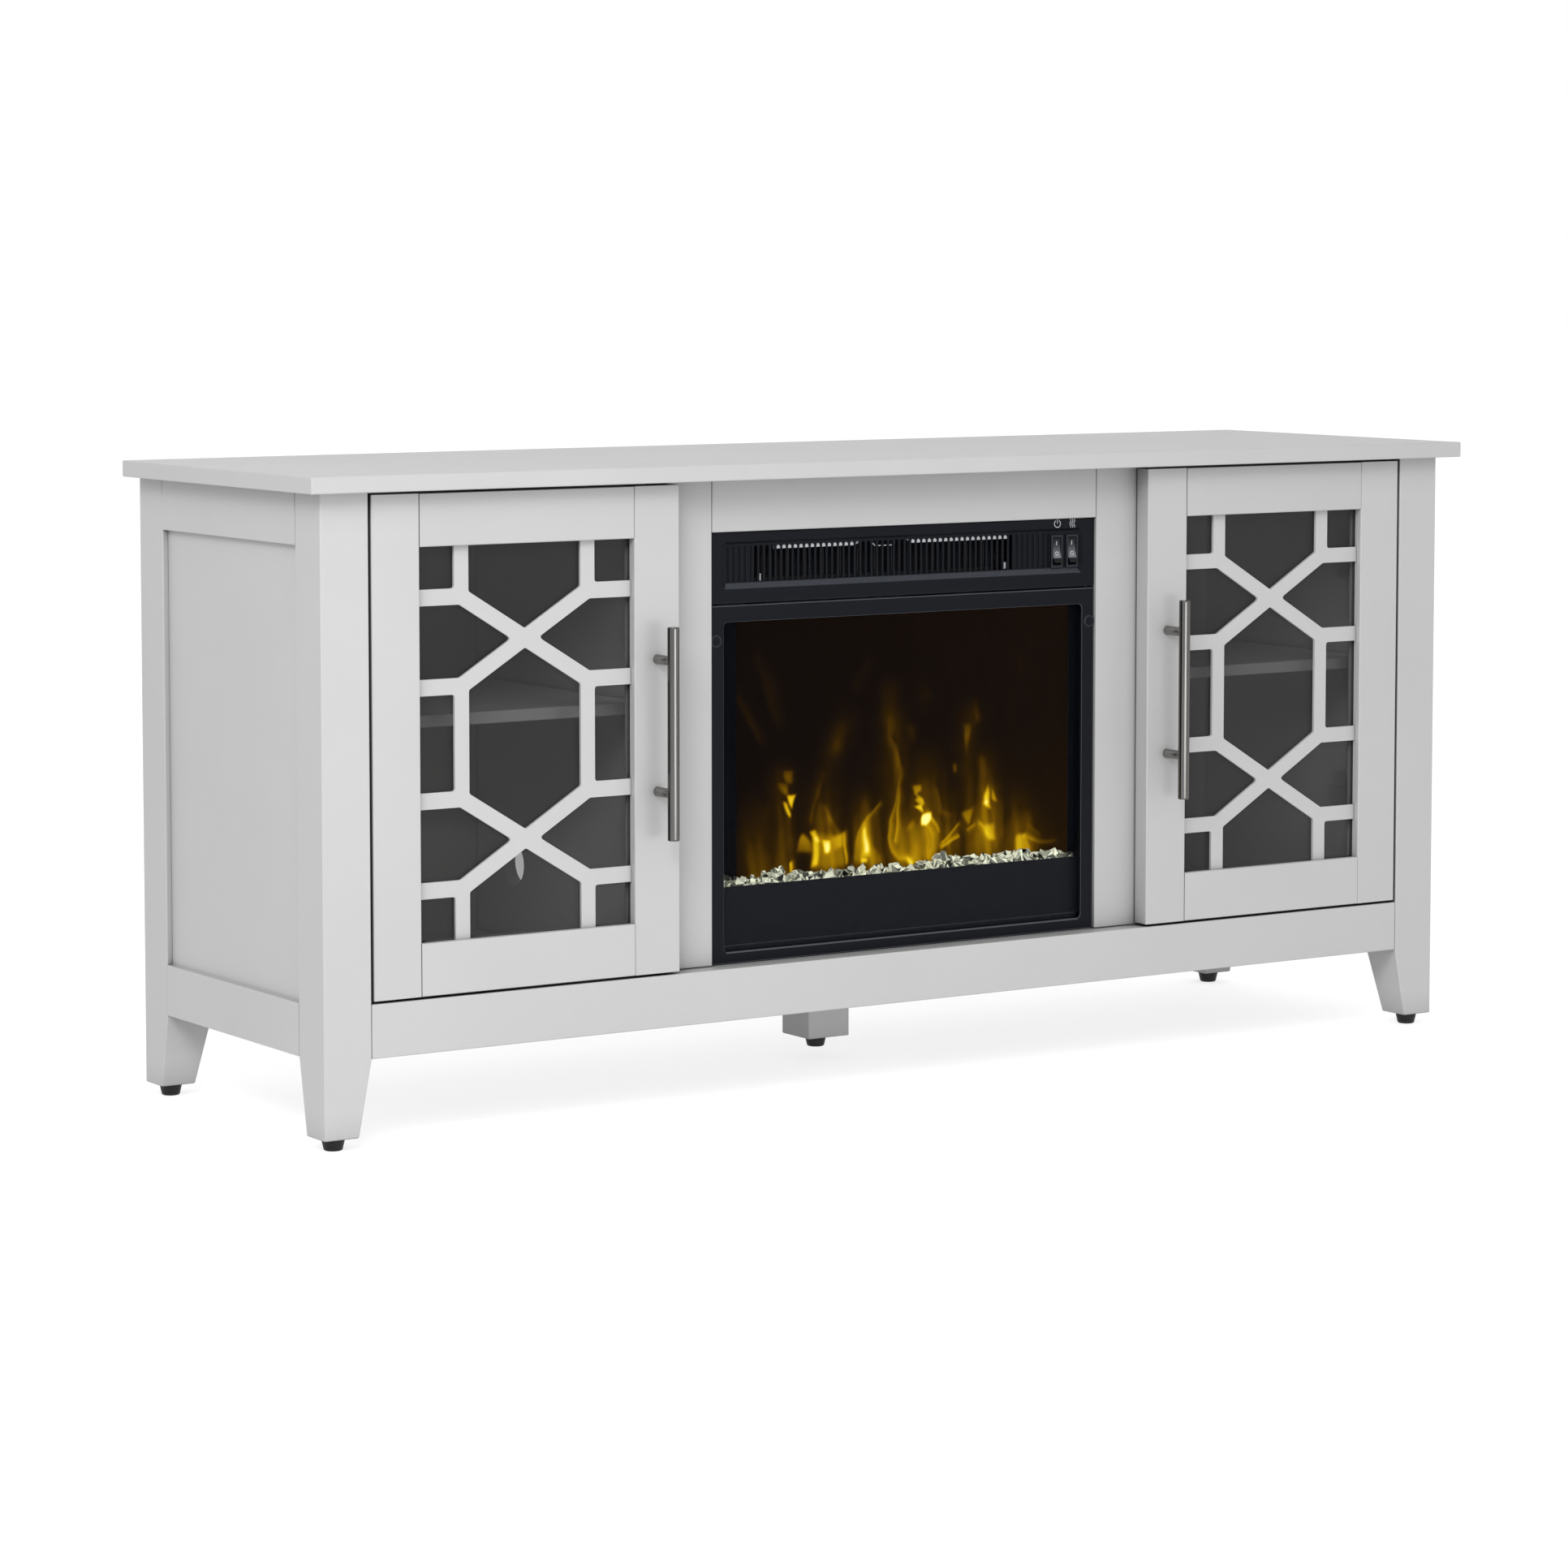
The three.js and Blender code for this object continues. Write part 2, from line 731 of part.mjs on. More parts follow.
// Hinge cup: a shallow pan let into the stile, with two screw ears and its pin
function hingeCup(offset) {
  const outer = cupRadius - cupPlay;
  const floor = doorThickness - cupDepth + cupPlay;
  const [rim, top] = [doorThickness + seam, doorThickness + seam + earThickness];
  const pan = rodAlongY(outer, floor, top, roundSides);
  const hollow = rodAlongY(outer - cupWall, floor + cupWall, top + cutOverrun, roundSides);
  const ears = box(-earWidth / 2, earWidth / 2, rim, top, -earLength / 2, earLength / 2);
  const pinZ = outer - cupWall / 2;
  const pin = rod(hingePinRadius, 2 * pinZ, smallSides).translate(0, doorThickness - cupDepth / 2, -pinZ);
  return join(cut(join(pan, ears), hollow), pin).translate(-cupEdge, 0, doorHeight / 2 + offset);
}

// Hinge arm: a cranked arm from the cup to its plate on the side board
function hingeArm(offset) {
  const wall = doorSideGap - seam;
  const front = doorThickness + 2 * seam + earThickness;
  const bend = front + armNose;
  const nose = -cupEdge;
  const profile = new THREE.Shape([
    [nose - armThickness, front], [-armLand, front],
    [wall, bend], [wall, bend + armReach], [wall - armThickness, bend + armReach],
    [wall - armThickness, bend + 2 * armThickness], [nose - armThickness, bend],
  ].map(([x, y]) => new THREE.Vector2(x, y)));
  const arm = extruded(profile, armWidth).translate(0, 0, -armWidth / 2);
  const plateBack = bend + armReach - armThickness;
  const half = plateHeight / 2;
  const plate = box(wall - plateThickness, wall, plateBack - plateLength, plateBack, -half, half);
  return join(arm, plate).translate(0, 0, doorHeight / 2 + offset);
}

function doorGroup(side, sign) {
  const door = new THREE.Group();
  const facing = geometry => (sign > 0 ? geometry : mirrored(geometry));
  const add = (name, geometry, finish) => mesh(door, `${side}_${name}`, facing(geometry), finish);
  door.position.set(sign * hingeEdge, frontPlane, doorBottom);
  add('door_hinge_stile', hingeStile(), 'paint');
  add('door_handle_stile', handleStile(), 'paint');
  add('door_top_rail', rail(true), 'paint');
  add('door_bottom_rail', rail(false), 'paint');
  add('door_fretwork', doorPanel(fretThickness, fretFront, fretCells()), 'paint');
  add('door_glass', doorPanel(doorGlassThickness, glassFront, []), 'smokedGlass');
  add('door_handle', handle(), 'nickel');
  for (const [level, offset] of [['upper', hingeOffset], ['lower', -hingeOffset]]) {
    add(`${level}_hinge_cup`, hingeCup(offset), 'steel');
    add(`${level}_hinge_arm`, hingeArm(offset), 'steel');
  }
  return door;
}

// Electric fire: y runs from 0 at its front face, z from 0 at its lowest edge

function windowHole(spread, y0, y1) {
  const half = insertWidth / 2 - windowSide + spread;
  const top = insertHeight - bezelHeight - bezelGap - windowTop + spread;
  const corner = spread > 0 ? 0 : windowCorner;
  return upright(roundedRectangle(-half, half, windowBottom - spread, top, corner), y0, y1);
}

function fireFrame() {
  const half = insertWidth / 2;
  const blank = board(-half, half, 0, fasciaThickness, 0, insertHeight - bezelHeight - bezelGap);
  const through = windowHole(0, -cutOverrun, fasciaThickness + cutOverrun);
  return cut(blank, through, windowHole(glassRebate, windowLip, fasciaThickness + cutOverrun));
}

function fireGlass() {
  const spread = glassRebate - seam;
  const half = insertWidth / 2 - windowSide + spread;
  const top = insertHeight - bezelHeight - bezelGap - windowTop + spread;
  const front = windowLip + seam;
  return box(-half, half, front, front + fireGlassThickness, windowBottom - spread, top);
}

function outletCut() {
  const [bottom, top] = [insertHeight - bezelHeight + outletBottom, insertHeight - outletTop];
  const half = insertWidth / 2 - outletSide;
  const ring = (y, side, down, up) => {
    const outline = chamferedRing(-half + side, half - side, bottom + down, top - up, 0, outletCorner);
    return outline.map(point => new THREE.Vector3(point.x, y, point.y)).reverse();
  };
  const slope = cutOverrun / outletDepth;
  return loft([
    ring(-cutOverrun, -outletSideSlope * slope, -outletBottomSlope * slope, -outletTopSlope * slope),
    ring(outletDepth, outletSideSlope, outletBottomSlope, outletTopSlope),
  ]);
}

const louvreBottom = insertHeight - bezelHeight + outletBottom + outletBottomSlope + louvreRise;
const louvreTop = insertHeight - outletTop - outletTopSlope - louvreHead;
const louvreX = i => -insertWidth / 2 + louvreFromLeft + i * louvrePitch;

function louvre(x, depth) {
  const [left, right] = [x - louvreWidth / 2, x + louvreWidth / 2];
  const outline = new THREE.Shape();
  outline.moveTo(left, louvreBottom);
  outline.lineTo(right, louvreBottom);
  outline.lineTo(right, louvreTop - louvreWidth / 2);
  outline.absarc(x, louvreTop - louvreWidth / 2, louvreWidth / 2, 0, Math.PI, false);
  outline.closePath();
  return upright(outline, outletDepth - cutOverrun, depth, cornerSteps + 1);
}

function louvres() {
  const through = fasciaThickness + cutOverrun;
  return Array.from({ length: blindLeft + openLouvres + blindRight }, (_, i) => {
    const open = i >= blindLeft && i < blindLeft + openLouvres;
    return louvre(louvreX(i), open ? through : outletDepth + blindGrooveDepth);
  });
}

// Shallow room behind the open louvres, which leaves their bars thin
function louvrePocket() {
  const reach = louvreWidth / 2 + pocketMargin;
  const [left, right] = [louvreX(blindLeft) - reach, louvreX(blindLeft + openLouvres - 1) + reach];
  const [low, high] = [louvreBottom - pocketMargin, louvreTop + pocketMargin];
  return box(left, right, outletDepth + louvreWall, fasciaThickness + cutOverrun, low, high);
}

function switchCentre(index) {
  const z = insertHeight - bezelHeight + outletBottom + outletBottomSlope + switchHeight / 2;
  return new THREE.Vector3(insertWidth / 2 - switchFromRight - (1 - index) * switchPitch, 0, z);
}

// Switch housing: a rim proud of the outlet's floor and a box behind it, open at the front
function switchHousing(index) {
  const centre = switchCentre(index);
  const [half, tall] = [switchWidth / 2, switchHeight / 2];
  const front = outletDepth - switchProud;
  const rim = upright(roundedRectangle(-half, half, -tall, tall, switchCorner), front, fasciaThickness);
  const [side, end] = [rockerWidth / 2 + rockerPlay, rockerHalfHeight + rockerEndPlay];
  const wall = switchBodyWall;
  const back = fasciaThickness + switchBodyDepth;
  const body = box(-side - wall, side + wall, fasciaThickness - wall, back, -end - wall, end + wall);
  const well = box(-side, side, -cutOverrun, back - wall, -end, end);
  return [join(rim, body), well].map(piece => piece.translate(centre.x, 0, centre.z));
}

function heaterBezel() {
  const half = insertWidth / 2;
  const blank = board(-half, half, 0, fasciaThickness, insertHeight - bezelHeight, insertHeight);
  const grille = cut(blank, outletCut(), louvrePocket(), ...louvres());
  const [[first, firstWell], [second, secondWell]] = [switchHousing(0), switchHousing(1)];
  return cut(join(grille, first, second), firstWell, secondWell);
}

// Rocker: hollowed face, rounded back, drawn about its pivot
function rocker() {
  const face = -rockerPivotDepth - rockerProud;
  const shoulder = rockerHalfHeight + rockerPlay;
  const outline = new THREE.Shape();
  outline.moveTo(face, -rockerHalfHeight);
  outline.lineTo(0, -shoulder);
  outline.quadraticCurveTo(rockerBack, -rockerHalfHeight / 2, rockerBack, 0);
  outline.quadraticCurveTo(rockerBack, rockerHalfHeight / 2, 0, shoulder);
  outline.lineTo(face, rockerHalfHeight);
  outline.quadraticCurveTo(face + 2 * rockerHollow, 0, face, -rockerHalfHeight);
  return runAlongX(outline, -rockerWidth / 2, rockerWidth / 2, cornerSteps + 1);
}

function addRocker(fire, name, index) {
  const piece = mesh(fire, name, rocker(), 'blackPlastic');
  const centre = switchCentre(index);
  piece.position.set(centre.x, outletDepth - switchProud + rockerPivotDepth, centre.z);
  piece.rotation.x = -rockerTilt;
}

const housingHalf = insertWidth / 2 - housingInset;
const housingFront = fasciaThickness + seam;
const housingBack = housingFront + housingDepth;
const chamberHalf = housingHalf - housingWall;
const wheelLift = (partitionLift + insertHeight - housingInset) / 2;
const wheelFront = housingFront + wheelDepth;
const motorEnd = chamberHalf - motorRightGap;
const motorStart = motorEnd - motorLength;
const wheelLeft = -chamberHalf + wheelLeftGap;
const wheelRight = motorStart - 2 * seam - wheelDisc;
const wheelLength = wheelRight - wheelLeft;

function housing() {
  const [bottom, top] = [housingInset, insertHeight - housingInset];
  const shell = box(-housingHalf, housingHalf, housingFront, housingBack, bottom, top);
  const back = housingBack - housingWall;
  const [low, high] = [bottom + housingWall, top - housingWall];
  const fireRoom = box(-chamberHalf, chamberHalf, 0, back, low, partitionLift - housingWall / 2);
  const heatRoom = box(-chamberHalf, chamberHalf, 0, back, partitionLift + housingWall / 2, high);
  const slots = Array.from({ length: ventSlots }, (_, i) => {
    const x = (i - (ventSlots - 1) / 2) * ventSlotPitch;
    const [half, tall] = [ventSlotWidth / 2, ventSlotHeight / 2];
    const outline = roundedRectangle(x - half, x + half, wheelLift - tall, wheelLift + tall, half);
    return upright(outline, back - cutOverrun, housingBack + cutOverrun);
  });
  const glandZ = bottom + housingInset + 2 * glandRadius;
  const glandX = chamberHalf - 2 * glandRadius;
  const gland = rodAlongY(glandRadius, back, housingBack + glandLength).translate(glandX, 0, glandZ);
  const [boreStart, boreEnd] = [back - cutOverrun, housingBack + glandLength + cutOverrun];
  const bore = rodAlongY(glandBore, boreStart, boreEnd, smallSides).translate(glandX, 0, glandZ);
  const motor = rodAlongX(flameMotorRadius, housingHalf - housingWall / 2, housingHalf + flameMotorLength);
  motor.translate(0, housingFront + spindleDepth, spindleLift);
  const bearing = housingHalf + bushLength / 2;
  const shaftHole = rodAlongX(spindleRadius + seam, -bearing, bearing);
  shaftHole.translate(0, housingFront + spindleDepth, spindleLift);
  const leftBush = rodAlongX(bushRadius, -housingHalf - bushLength, -chamberHalf);
  leftBush.translate(0, housingFront + spindleDepth, spindleLift);
  const frame = cut(shell, fireRoom, heatRoom, ...slots);
  return cut(join(frame, gland, motor, leftBush), bore, shaftHole);
}

// Bent tray: a front plate below the window, a floor under the chips and a low back lip
function emberTray() {
  const half = chamberHalf - seam;
  const front = housingFront + seam;
  const back = front + trayDepth;
  const plate = box(-half, half, front, front + sheet, trayFrontLift, trayFrontTop);
  const floor = box(-half, half, front, back, trayLift, trayLift + sheet);
  const lip = box(-half, half, back - sheet, back, trayLift, trayLift + trayLipHeight);
  return join(plate, floor, lip);
}

// Bed of broken glass: a faceted sheet of peaks and hollows that repeats no row
function crystalBed() {
  const half = chamberHalf - 2 * seam;
  const front = housingFront + 2 * seam + sheet;
  const back = front + trayDepth - 2 * sheet - 2 * seam;
  const floor = trayLift + sheet + seam;
  const columns = Math.round(2 * half / chipPitch);
  const rows = Math.ceil((back - front) / chipPitch);
  const level = trayFrontTop + chipHeight / 2;
  const height = (i, j) => {
    const wave = Math.sin(i * 2.4 + j * 1.7) + Math.sin(i * 5.1 - j * 2.9);
    return level + chipHeight * wave * chipWaveShare - (j === 0 ? chipHeight / 2 : 0);
  };
  const at = (i, j) => [-half + 2 * half * i / columns, front + (back - front) * j / rows];
  const top = (i, j) => new THREE.Vector3(...at(i, j), height(i, j));
  const low = (i, j) => new THREE.Vector3(...at(i, j), floor);
  const points = [];
  const quad = (a, b, c, d) => points.push(a, b, c, a, c, d);
  for (let i = 0; i < columns; i += 1) {
    for (let j = 0; j < rows; j += 1) {
      quad(top(i, j), top(i + 1, j), top(i + 1, j + 1), top(i, j + 1));
      quad(low(i, j), low(i, j + 1), low(i + 1, j + 1), low(i + 1, j));
    }
    quad(low(i, 0), low(i + 1, 0), top(i + 1, 0), top(i, 0));
    quad(low(i + 1, rows), low(i, rows), top(i, rows), top(i + 1, rows));
  }
  for (let j = 0; j < rows; j += 1) {
    quad(low(0, j + 1), low(0, j), top(0, j), top(0, j + 1));
    quad(low(columns, j), low(columns, j + 1), top(columns, j + 1), top(columns, j));
  }
  return new THREE.BufferGeometry().setFromPoints(points);
}

function flameScreen() {
  const half = chamberHalf - seam;
  const front = housingFront + 2 * seam + trayDepth;
  const [low, high] = [housingInset + housingWall + seam, partitionLift - housingWall / 2 - seam];
  return box(-half, half, front, front + screenThickness, low, high);
}

// Flame rotor: a thin shaft with bright strips set at changing angles
function flameSpindle() {
  const reach = housingHalf + bushLength / 2 - seam;
  const shaft = rodAlongX(spindleRadius, -reach, reach);
  const spread = 2 * (chamberHalf - petalLength);
  const petals = Array.from({ length: petalCount }, (_, i) => {
    const x = -spread / 2 + spread * i / (petalCount - 1);
    const half = petalLength / 2;
    const petal = box(-half, half, -sheet / 2, sheet / 2, -petalRadius, petalRadius);
    return petal.rotateX(i * petalTurn).translate(x, 0, 0);
  });
  return join(shaft, ...petals);
}

// Cross-flow wheel: blades between end discs, with one disc halfway
function blowerWheel() {
  const half = wheelLength / 2;
  const shaft = rodAlongX(wheelShaftRadius, -half - bushLength, half + bushLength);
  const discs = [-half, -wheelDisc / 2, half - wheelDisc].map(x => rodAlongX(wheelRadius, x, x + wheelDisc));
  const blades = Array.from({ length: bladeCount }, (_, i) => {
    const blade = box(-half, half, -bladeDepth, 0, -bladeThickness / 2, bladeThickness / 2);
    blade.rotateX(bladeTilt).translate(0, wheelRadius - seam, 0);
    return blade.rotateX(i * 2 * Math.PI / bladeCount);
  });
  return join(shaft, ...discs, ...blades);
}

function blowerMotor() {
  const [start, end] = [motorStart, motorEnd];
  const floor = partitionLift + housingWall / 2 + seam;
  const can = rodAlongX(motorRadius, start, end, roundSides).translate(0, wheelFront, wheelLift);
  const foot = box(start, end, wheelFront - motorRadius, wheelFront + motorRadius, floor, floor + sheet);
  const web = box(start, start + sheet, wheelFront - motorRadius, wheelFront + motorRadius, floor, wheelLift);
  const hole = rodAlongX(wheelShaftRadius + seam, start - cutOverrun, start + bushLength + seam);
  return cut(join(can, foot, web), hole.translate(0, wheelFront, wheelLift));
}

// Heater: fins between two bars, standing on the partition behind the louvres
function heatingElement() {
  const front = housingFront + elementSetback + switchBodyDepth / 2;
  const back = front + elementDepth;
  const floor = partitionLift + housingWall / 2 + seam;
  const high = insertHeight - housingInset - housingWall - elementTopGap;
  const low = high - elementHeight;
  const bars = [low, high - 2 * sheet].map(z => box(wheelLeft, wheelRight, front, back, z, z + 2 * sheet));
  const fins = Array.from({ length: elementFins }, (_, i) => {
    const x = wheelLeft + (wheelLength - finThickness) * i / (elementFins - 1);
    return box(x, x + finThickness, front, back, low, high);
  });
  const feet = [wheelLeft, wheelRight - elementDepth].map(x => {
    return box(x, x + elementDepth, front, back, floor, low + sheet);
  });
  return join(bars[0], bars[1], ...fins, ...feet);
}

function addFire(stand) {
  const fire = new THREE.Group();
  fire.position.set(0, facePlane + insertRecess, ledge + seam);
  mesh(fire, 'fire_frame', fireFrame(), 'blackMoulding');
  mesh(fire, 'fire_glass', fireGlass(), 'fireGlass');
  mesh(fire, 'heater_bezel', heaterBezel(), 'blackMoulding');
  addRocker(fire, 'power_rocker', 0);
  addRocker(fire, 'heat_rocker', 1);
  mesh(fire, 'fire_housing', housing(), 'blackSheet');
  mesh(fire, 'ember_tray', emberTray(), 'blackSheet');
  mesh(fire, 'crystal_bed', crystalBed(), 'crystal');
  mesh(fire, 'flame_screen', flameScreen(), 'amberScreen');
  mesh(fire, 'heating_element', heatingElement(), 'steel');
  const spindle = mesh(fire, 'flame_spindle', flameSpindle(), 'bright');
  spindle.position.set(0, housingFront + spindleDepth, spindleLift);
  const wheel = mesh(fire, 'blower_wheel', blowerWheel(), 'steel');
  wheel.position.set((wheelLeft + wheelRight) / 2, wheelFront, wheelLift);
  mesh(fire, 'blower_motor', blowerMotor(), 'steel');
  stand.add(fire);
}

// The stand, with its origin on the floor under the middle of its outer box
const stand = new THREE.Group();
addLegs(stand);
addCentreLeg(stand);
addCabinet(stand);
stand.add(doorGroup('right', 1), doorGroup('left', -1));
addFire(stand);
stand.position.set(0, -(standDepth - handleFront) / 2, glideHeight);

export default stand;
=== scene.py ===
import math
import random

import bmesh
import bpy
import numpy as np
from mathutils import Matrix, Vector


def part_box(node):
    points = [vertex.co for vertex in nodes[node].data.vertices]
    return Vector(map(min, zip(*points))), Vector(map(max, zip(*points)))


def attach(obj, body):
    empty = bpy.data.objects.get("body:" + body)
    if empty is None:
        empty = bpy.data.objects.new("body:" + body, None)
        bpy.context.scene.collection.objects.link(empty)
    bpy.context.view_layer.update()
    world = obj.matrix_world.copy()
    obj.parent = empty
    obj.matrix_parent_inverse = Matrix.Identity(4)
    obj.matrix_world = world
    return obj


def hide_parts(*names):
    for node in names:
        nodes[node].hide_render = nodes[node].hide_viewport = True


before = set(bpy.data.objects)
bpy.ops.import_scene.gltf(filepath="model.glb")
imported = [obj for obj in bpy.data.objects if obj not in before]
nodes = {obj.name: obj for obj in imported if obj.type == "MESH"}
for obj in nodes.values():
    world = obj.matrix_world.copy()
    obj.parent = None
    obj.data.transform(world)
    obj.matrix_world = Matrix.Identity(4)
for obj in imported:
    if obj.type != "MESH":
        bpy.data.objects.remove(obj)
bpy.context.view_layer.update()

# Places are written in millimetres from the top board's front edge and the bottom of the legs
SHIFT_Y, SHIFT_Z = -192.1, 12.0


def at(x, y, z):
    """A place in metres in the shared frame."""
    return Vector((x, y + SHIFT_Y, z + SHIFT_Z)) / 1000


# Camera at the photograph's viewing angle
CAMERA_PLACE = (-2.6794, -4.0049, 0.8442)
CAMERA_TILT, CAMERA_TURN = -4.6817, -33.2801
CAMERA_LENS, CAMERA_SENSOR = 107.837, 36
CAMERA_SHIFT = -0.1

camera_data = bpy.data.cameras.new("camera")
camera = bpy.data.objects.new("camera", camera_data)
bpy.context.collection.objects.link(camera)
camera.location = CAMERA_PLACE
camera.rotation_euler = (math.radians(90 + CAMERA_TILT), 0, math.radians(CAMERA_TURN))
camera_data.lens = CAMERA_LENS
camera_data.sensor_width = CAMERA_SENSOR
camera_data.sensor_fit = "HORIZONTAL"
camera_data.shift_y = CAMERA_SHIFT
camera_data.clip_start, camera_data.clip_end = 0.05, 60
bpy.context.scene.camera = camera


class Nodes:
    """A material's node tree, with short calls for the nodes used here."""

    def __init__(self, name):
        self.material = bpy.data.materials.new(name)
        self.material.use_nodes = True
        self.tree = self.material.node_tree
        self.shader = self.tree.nodes["Principled BSDF"]

    def new(self, kind, inputs=None, **settings):
        node = self.tree.nodes.new(kind)
        for key, value in settings.items():
            setattr(node, key, value)
        for key, value in (inputs or {}).items():
            self.set(node, key, value)
        return node

    def set(self, node, key, value):
        socket = node.inputs[key]
        if isinstance(value, bpy.types.NodeSocket):
            self.tree.links.new(value, socket)
        else:
            socket.default_value = value

    def principled(self, **inputs):
        for key, value in inputs.items():
            self.set(self.shader, key.replace("_", " "), value)

    def noise(self, scale, detail, stretch=None):
        where = self.new("ShaderNodeTexCoord").outputs["Object"]
        if stretch:
            mapping = self.new("ShaderNodeMapping", {"Vector": where, "Scale": stretch})
            where = mapping.outputs["Vector"]
        inputs = {"Vector": where, "Scale": scale, "Detail": detail}
        return self.new("ShaderNodeTexNoise", inputs).outputs["Fac"]

    def stops(self, fac, stops):
        """A colour ramp with its stops given as (place, colour)."""
        node = self.new("ShaderNodeValToRGB", {"Fac": fac})
        elements = node.color_ramp.elements
        while len(elements) < len(stops):
            elements.new(0.5)
        for element, (place, color) in zip(elements, stops):
            element.position = place
            element.color = (*color, 1)
        return node.outputs["Color"]

    def ramp(self, fac, low, high, start=0.3, end=0.7):
        return self.stops(fac, [(start, low), (end, high)])

    def span(self, fac, low, high):
        inputs = {"Value": fac, "To Min": low, "To Max": high}
        return self.new("ShaderNodeMapRange", inputs).outputs["Result"]

    def with_painted_shade(self, color, distance):
        """The colour with painted shade, darker in creases and nearly black in gaps where surfaces
        stand close.
        """
        near = self.new("ShaderNodeAmbientOcclusion", {"Distance": distance}, samples=8)
        tones = ((0.06, 0.01), (0.25, 0.30), (0.5, 0.68), (0.75, 0.88), (1.0, 1.0))
        light = self.stops(near.outputs["AO"], [(place, (tone,) * 3) for place, tone in tones])
        inputs = {0: color, 1: light}
        return self.new("ShaderNodeVectorMath", inputs, operation="MULTIPLY").outputs["Vector"]

    def bump(self, height, strength, distance):
        inputs = {"Height": height, "Strength": strength, "Distance": distance}
        return self.new("ShaderNodeBump", inputs).outputs["Normal"]


def shade(color, k):
    return tuple(c * k for c in color)


def painted(name, color, rough, grain=260, depth=0.00002, vary=0.03, specular=0.5, shade_reach=None):
    """Paint or plastic with a fine grain, and painted shade in creases up to a distance where one
    is given.
    """
    m = Nodes(name)
    surface = m.ramp(m.noise(7, 4), shade(color, 1 - vary), color)
    m.principled(
        Base_Color=m.with_painted_shade(surface, shade_reach) if shade_reach else surface,
        Roughness=m.span(m.noise(35, 4), rough - 0.05, rough + 0.05),
        Normal=m.bump(m.noise(grain, 3), 0.15, depth),
        Specular_IOR_Level=specular,
    )
    return m.material


def brushed(name, color, rough, stretch, depth=0.00004):
    """Metal with fine lines, which run along the axis that is stretched least."""
    m = Nodes(name)
    lines = m.noise(1.0, 3, stretch)
    m.principled(
        Base_Color=m.ramp(lines, shade(color, 0.82), color),
        Roughness=m.span(lines, rough * 0.85, rough * 1.2),
        Normal=m.bump(lines, 0.2, depth),
        Metallic=1.0,
    )
    return m.material


def glazed(name, color, alpha, specular):
    """Tinted glass or a print on it, seen through by its alpha."""
    m = Nodes(name)
    m.principled(
        Base_Color=m.ramp(m.noise(4, 2), shade(color, 0.9), color),
        Roughness=0.04,
        Alpha=alpha,
        Specular_IOR_Level=specular,
    )
    return m.material


def rocker_plastic():
    """Black plastic of a switch, with a painted highlight over the lower half of its hollow face
    and painted shade at its foot.
    """
    m = Nodes("rocker_black_highlit")
    spot = m.new("ShaderNodeTexCoord").outputs["Generated"]
    height = m.new("ShaderNodeSeparateXYZ", {"Vector": spot}).outputs["Z"]
    # Heights up the face and their tones: painted shade at the foot, then a painted highlight
    # fading upwards
    tones = ((0.22, 0.004), (0.25, 0.26), (0.45, 0.17), (0.70, 0.06), (0.86, 0.014), (1.0, 0.014))
    stops = [(place, (tone, tone * 1.03, tone * 1.12)) for place, tone in tones]
    m.principled(
        Base_Color=m.stops(height, stops),
        Roughness=m.span(m.noise(900, 3), 0.25, 0.35),
        Specular_IOR_Level=0.2,
    )
    return m.material


# Materials of the CAD nodes and of the pieces made here
WHITE = (0.80, 0.80, 0.80)
# The white paint, shelf white and laminate carry painted shade in creases and gaps, up to the reach
# given
paint = painted("white_paint", WHITE, 0.42, shade_reach=0.04)
# Darker copies of the white paint that reach further: painted shade on the recessed face frame, and
# on the doors under the top board and beside the handles
recess_paint_shaded = painted("white_paint_shaded_in_recess", (0.75, 0.75, 0.75), 0.42, shade_reach=0.1)
door_paint_shaded = painted("white_paint_shaded_on_doors", (0.78, 0.78, 0.78), 0.42, shade_reach=0.11)
shelf_white = painted("shelf_white", WHITE, 0.5, shade_reach=0.012)
# The laminate is set greyer than the white paint: painted shade of the dim inside
laminate = painted("white_laminate", (0.60, 0.60, 0.595), 0.55, shade_reach=0.012)
hardboard = painted("hardboard", (0.45, 0.44, 0.42), 0.7, grain=400, depth=0.00006, vary=0.08)
moulding = painted("black_moulding", (0.0068, 0.0079, 0.0120), 0.38, grain=700, specular=0.10)
# A lighter colour for the rounds of the black plastic: a painted highlight along its edges
moulding_edge_highlight = painted("moulding_edge_highlight", (0.11, 0.115, 0.128), 0.3, grain=700, specular=0.2)
# A lighter colour for the outlet's sloping sill: a painted highlight where the slope faces up
sill_highlight = painted("outlet_sill_highlight", (0.055, 0.061, 0.074), 0.4, grain=900, specular=0.2)
# A lighter colour for the bezel's rounds, the switch frames, the ember bead and the cap rims:
# painted highlights
bezel_edge_highlight = painted("bezel_edge_highlight", (0.04, 0.042, 0.05), 0.3, grain=700, specular=0.15)
rocker_black_highlit = rocker_plastic()
glide_black = painted("glide_black", (0.010, 0.010, 0.010), 0.5, specular=0.3)
sheet_black = painted("black_sheet", (0.0120, 0.0130, 0.0182), 0.5, grain=500, specular=0.1)
fin_grey = painted("heater_fins", (0.045, 0.046, 0.05), 0.6, grain=500, specular=0.1)
nickel = brushed("brushed_nickel", (0.135, 0.131, 0.127), 0.13, (900, 900, 18), 0.00001)
post_nickel = brushed("post_nickel", (0.31, 0.30, 0.288), 0.3, (300, 60, 300), 0.00001)
zinc = brushed("zinc_steel", (0.55, 0.56, 0.57), 0.35, (60, 60, 60))
bright_steel = brushed("bright_strip", (0.8, 0.8, 0.8), 0.2, (40, 400, 400))
door_glass = glazed("smoked_glass", (0.030, 0.030, 0.030), 0.47, 0.40)
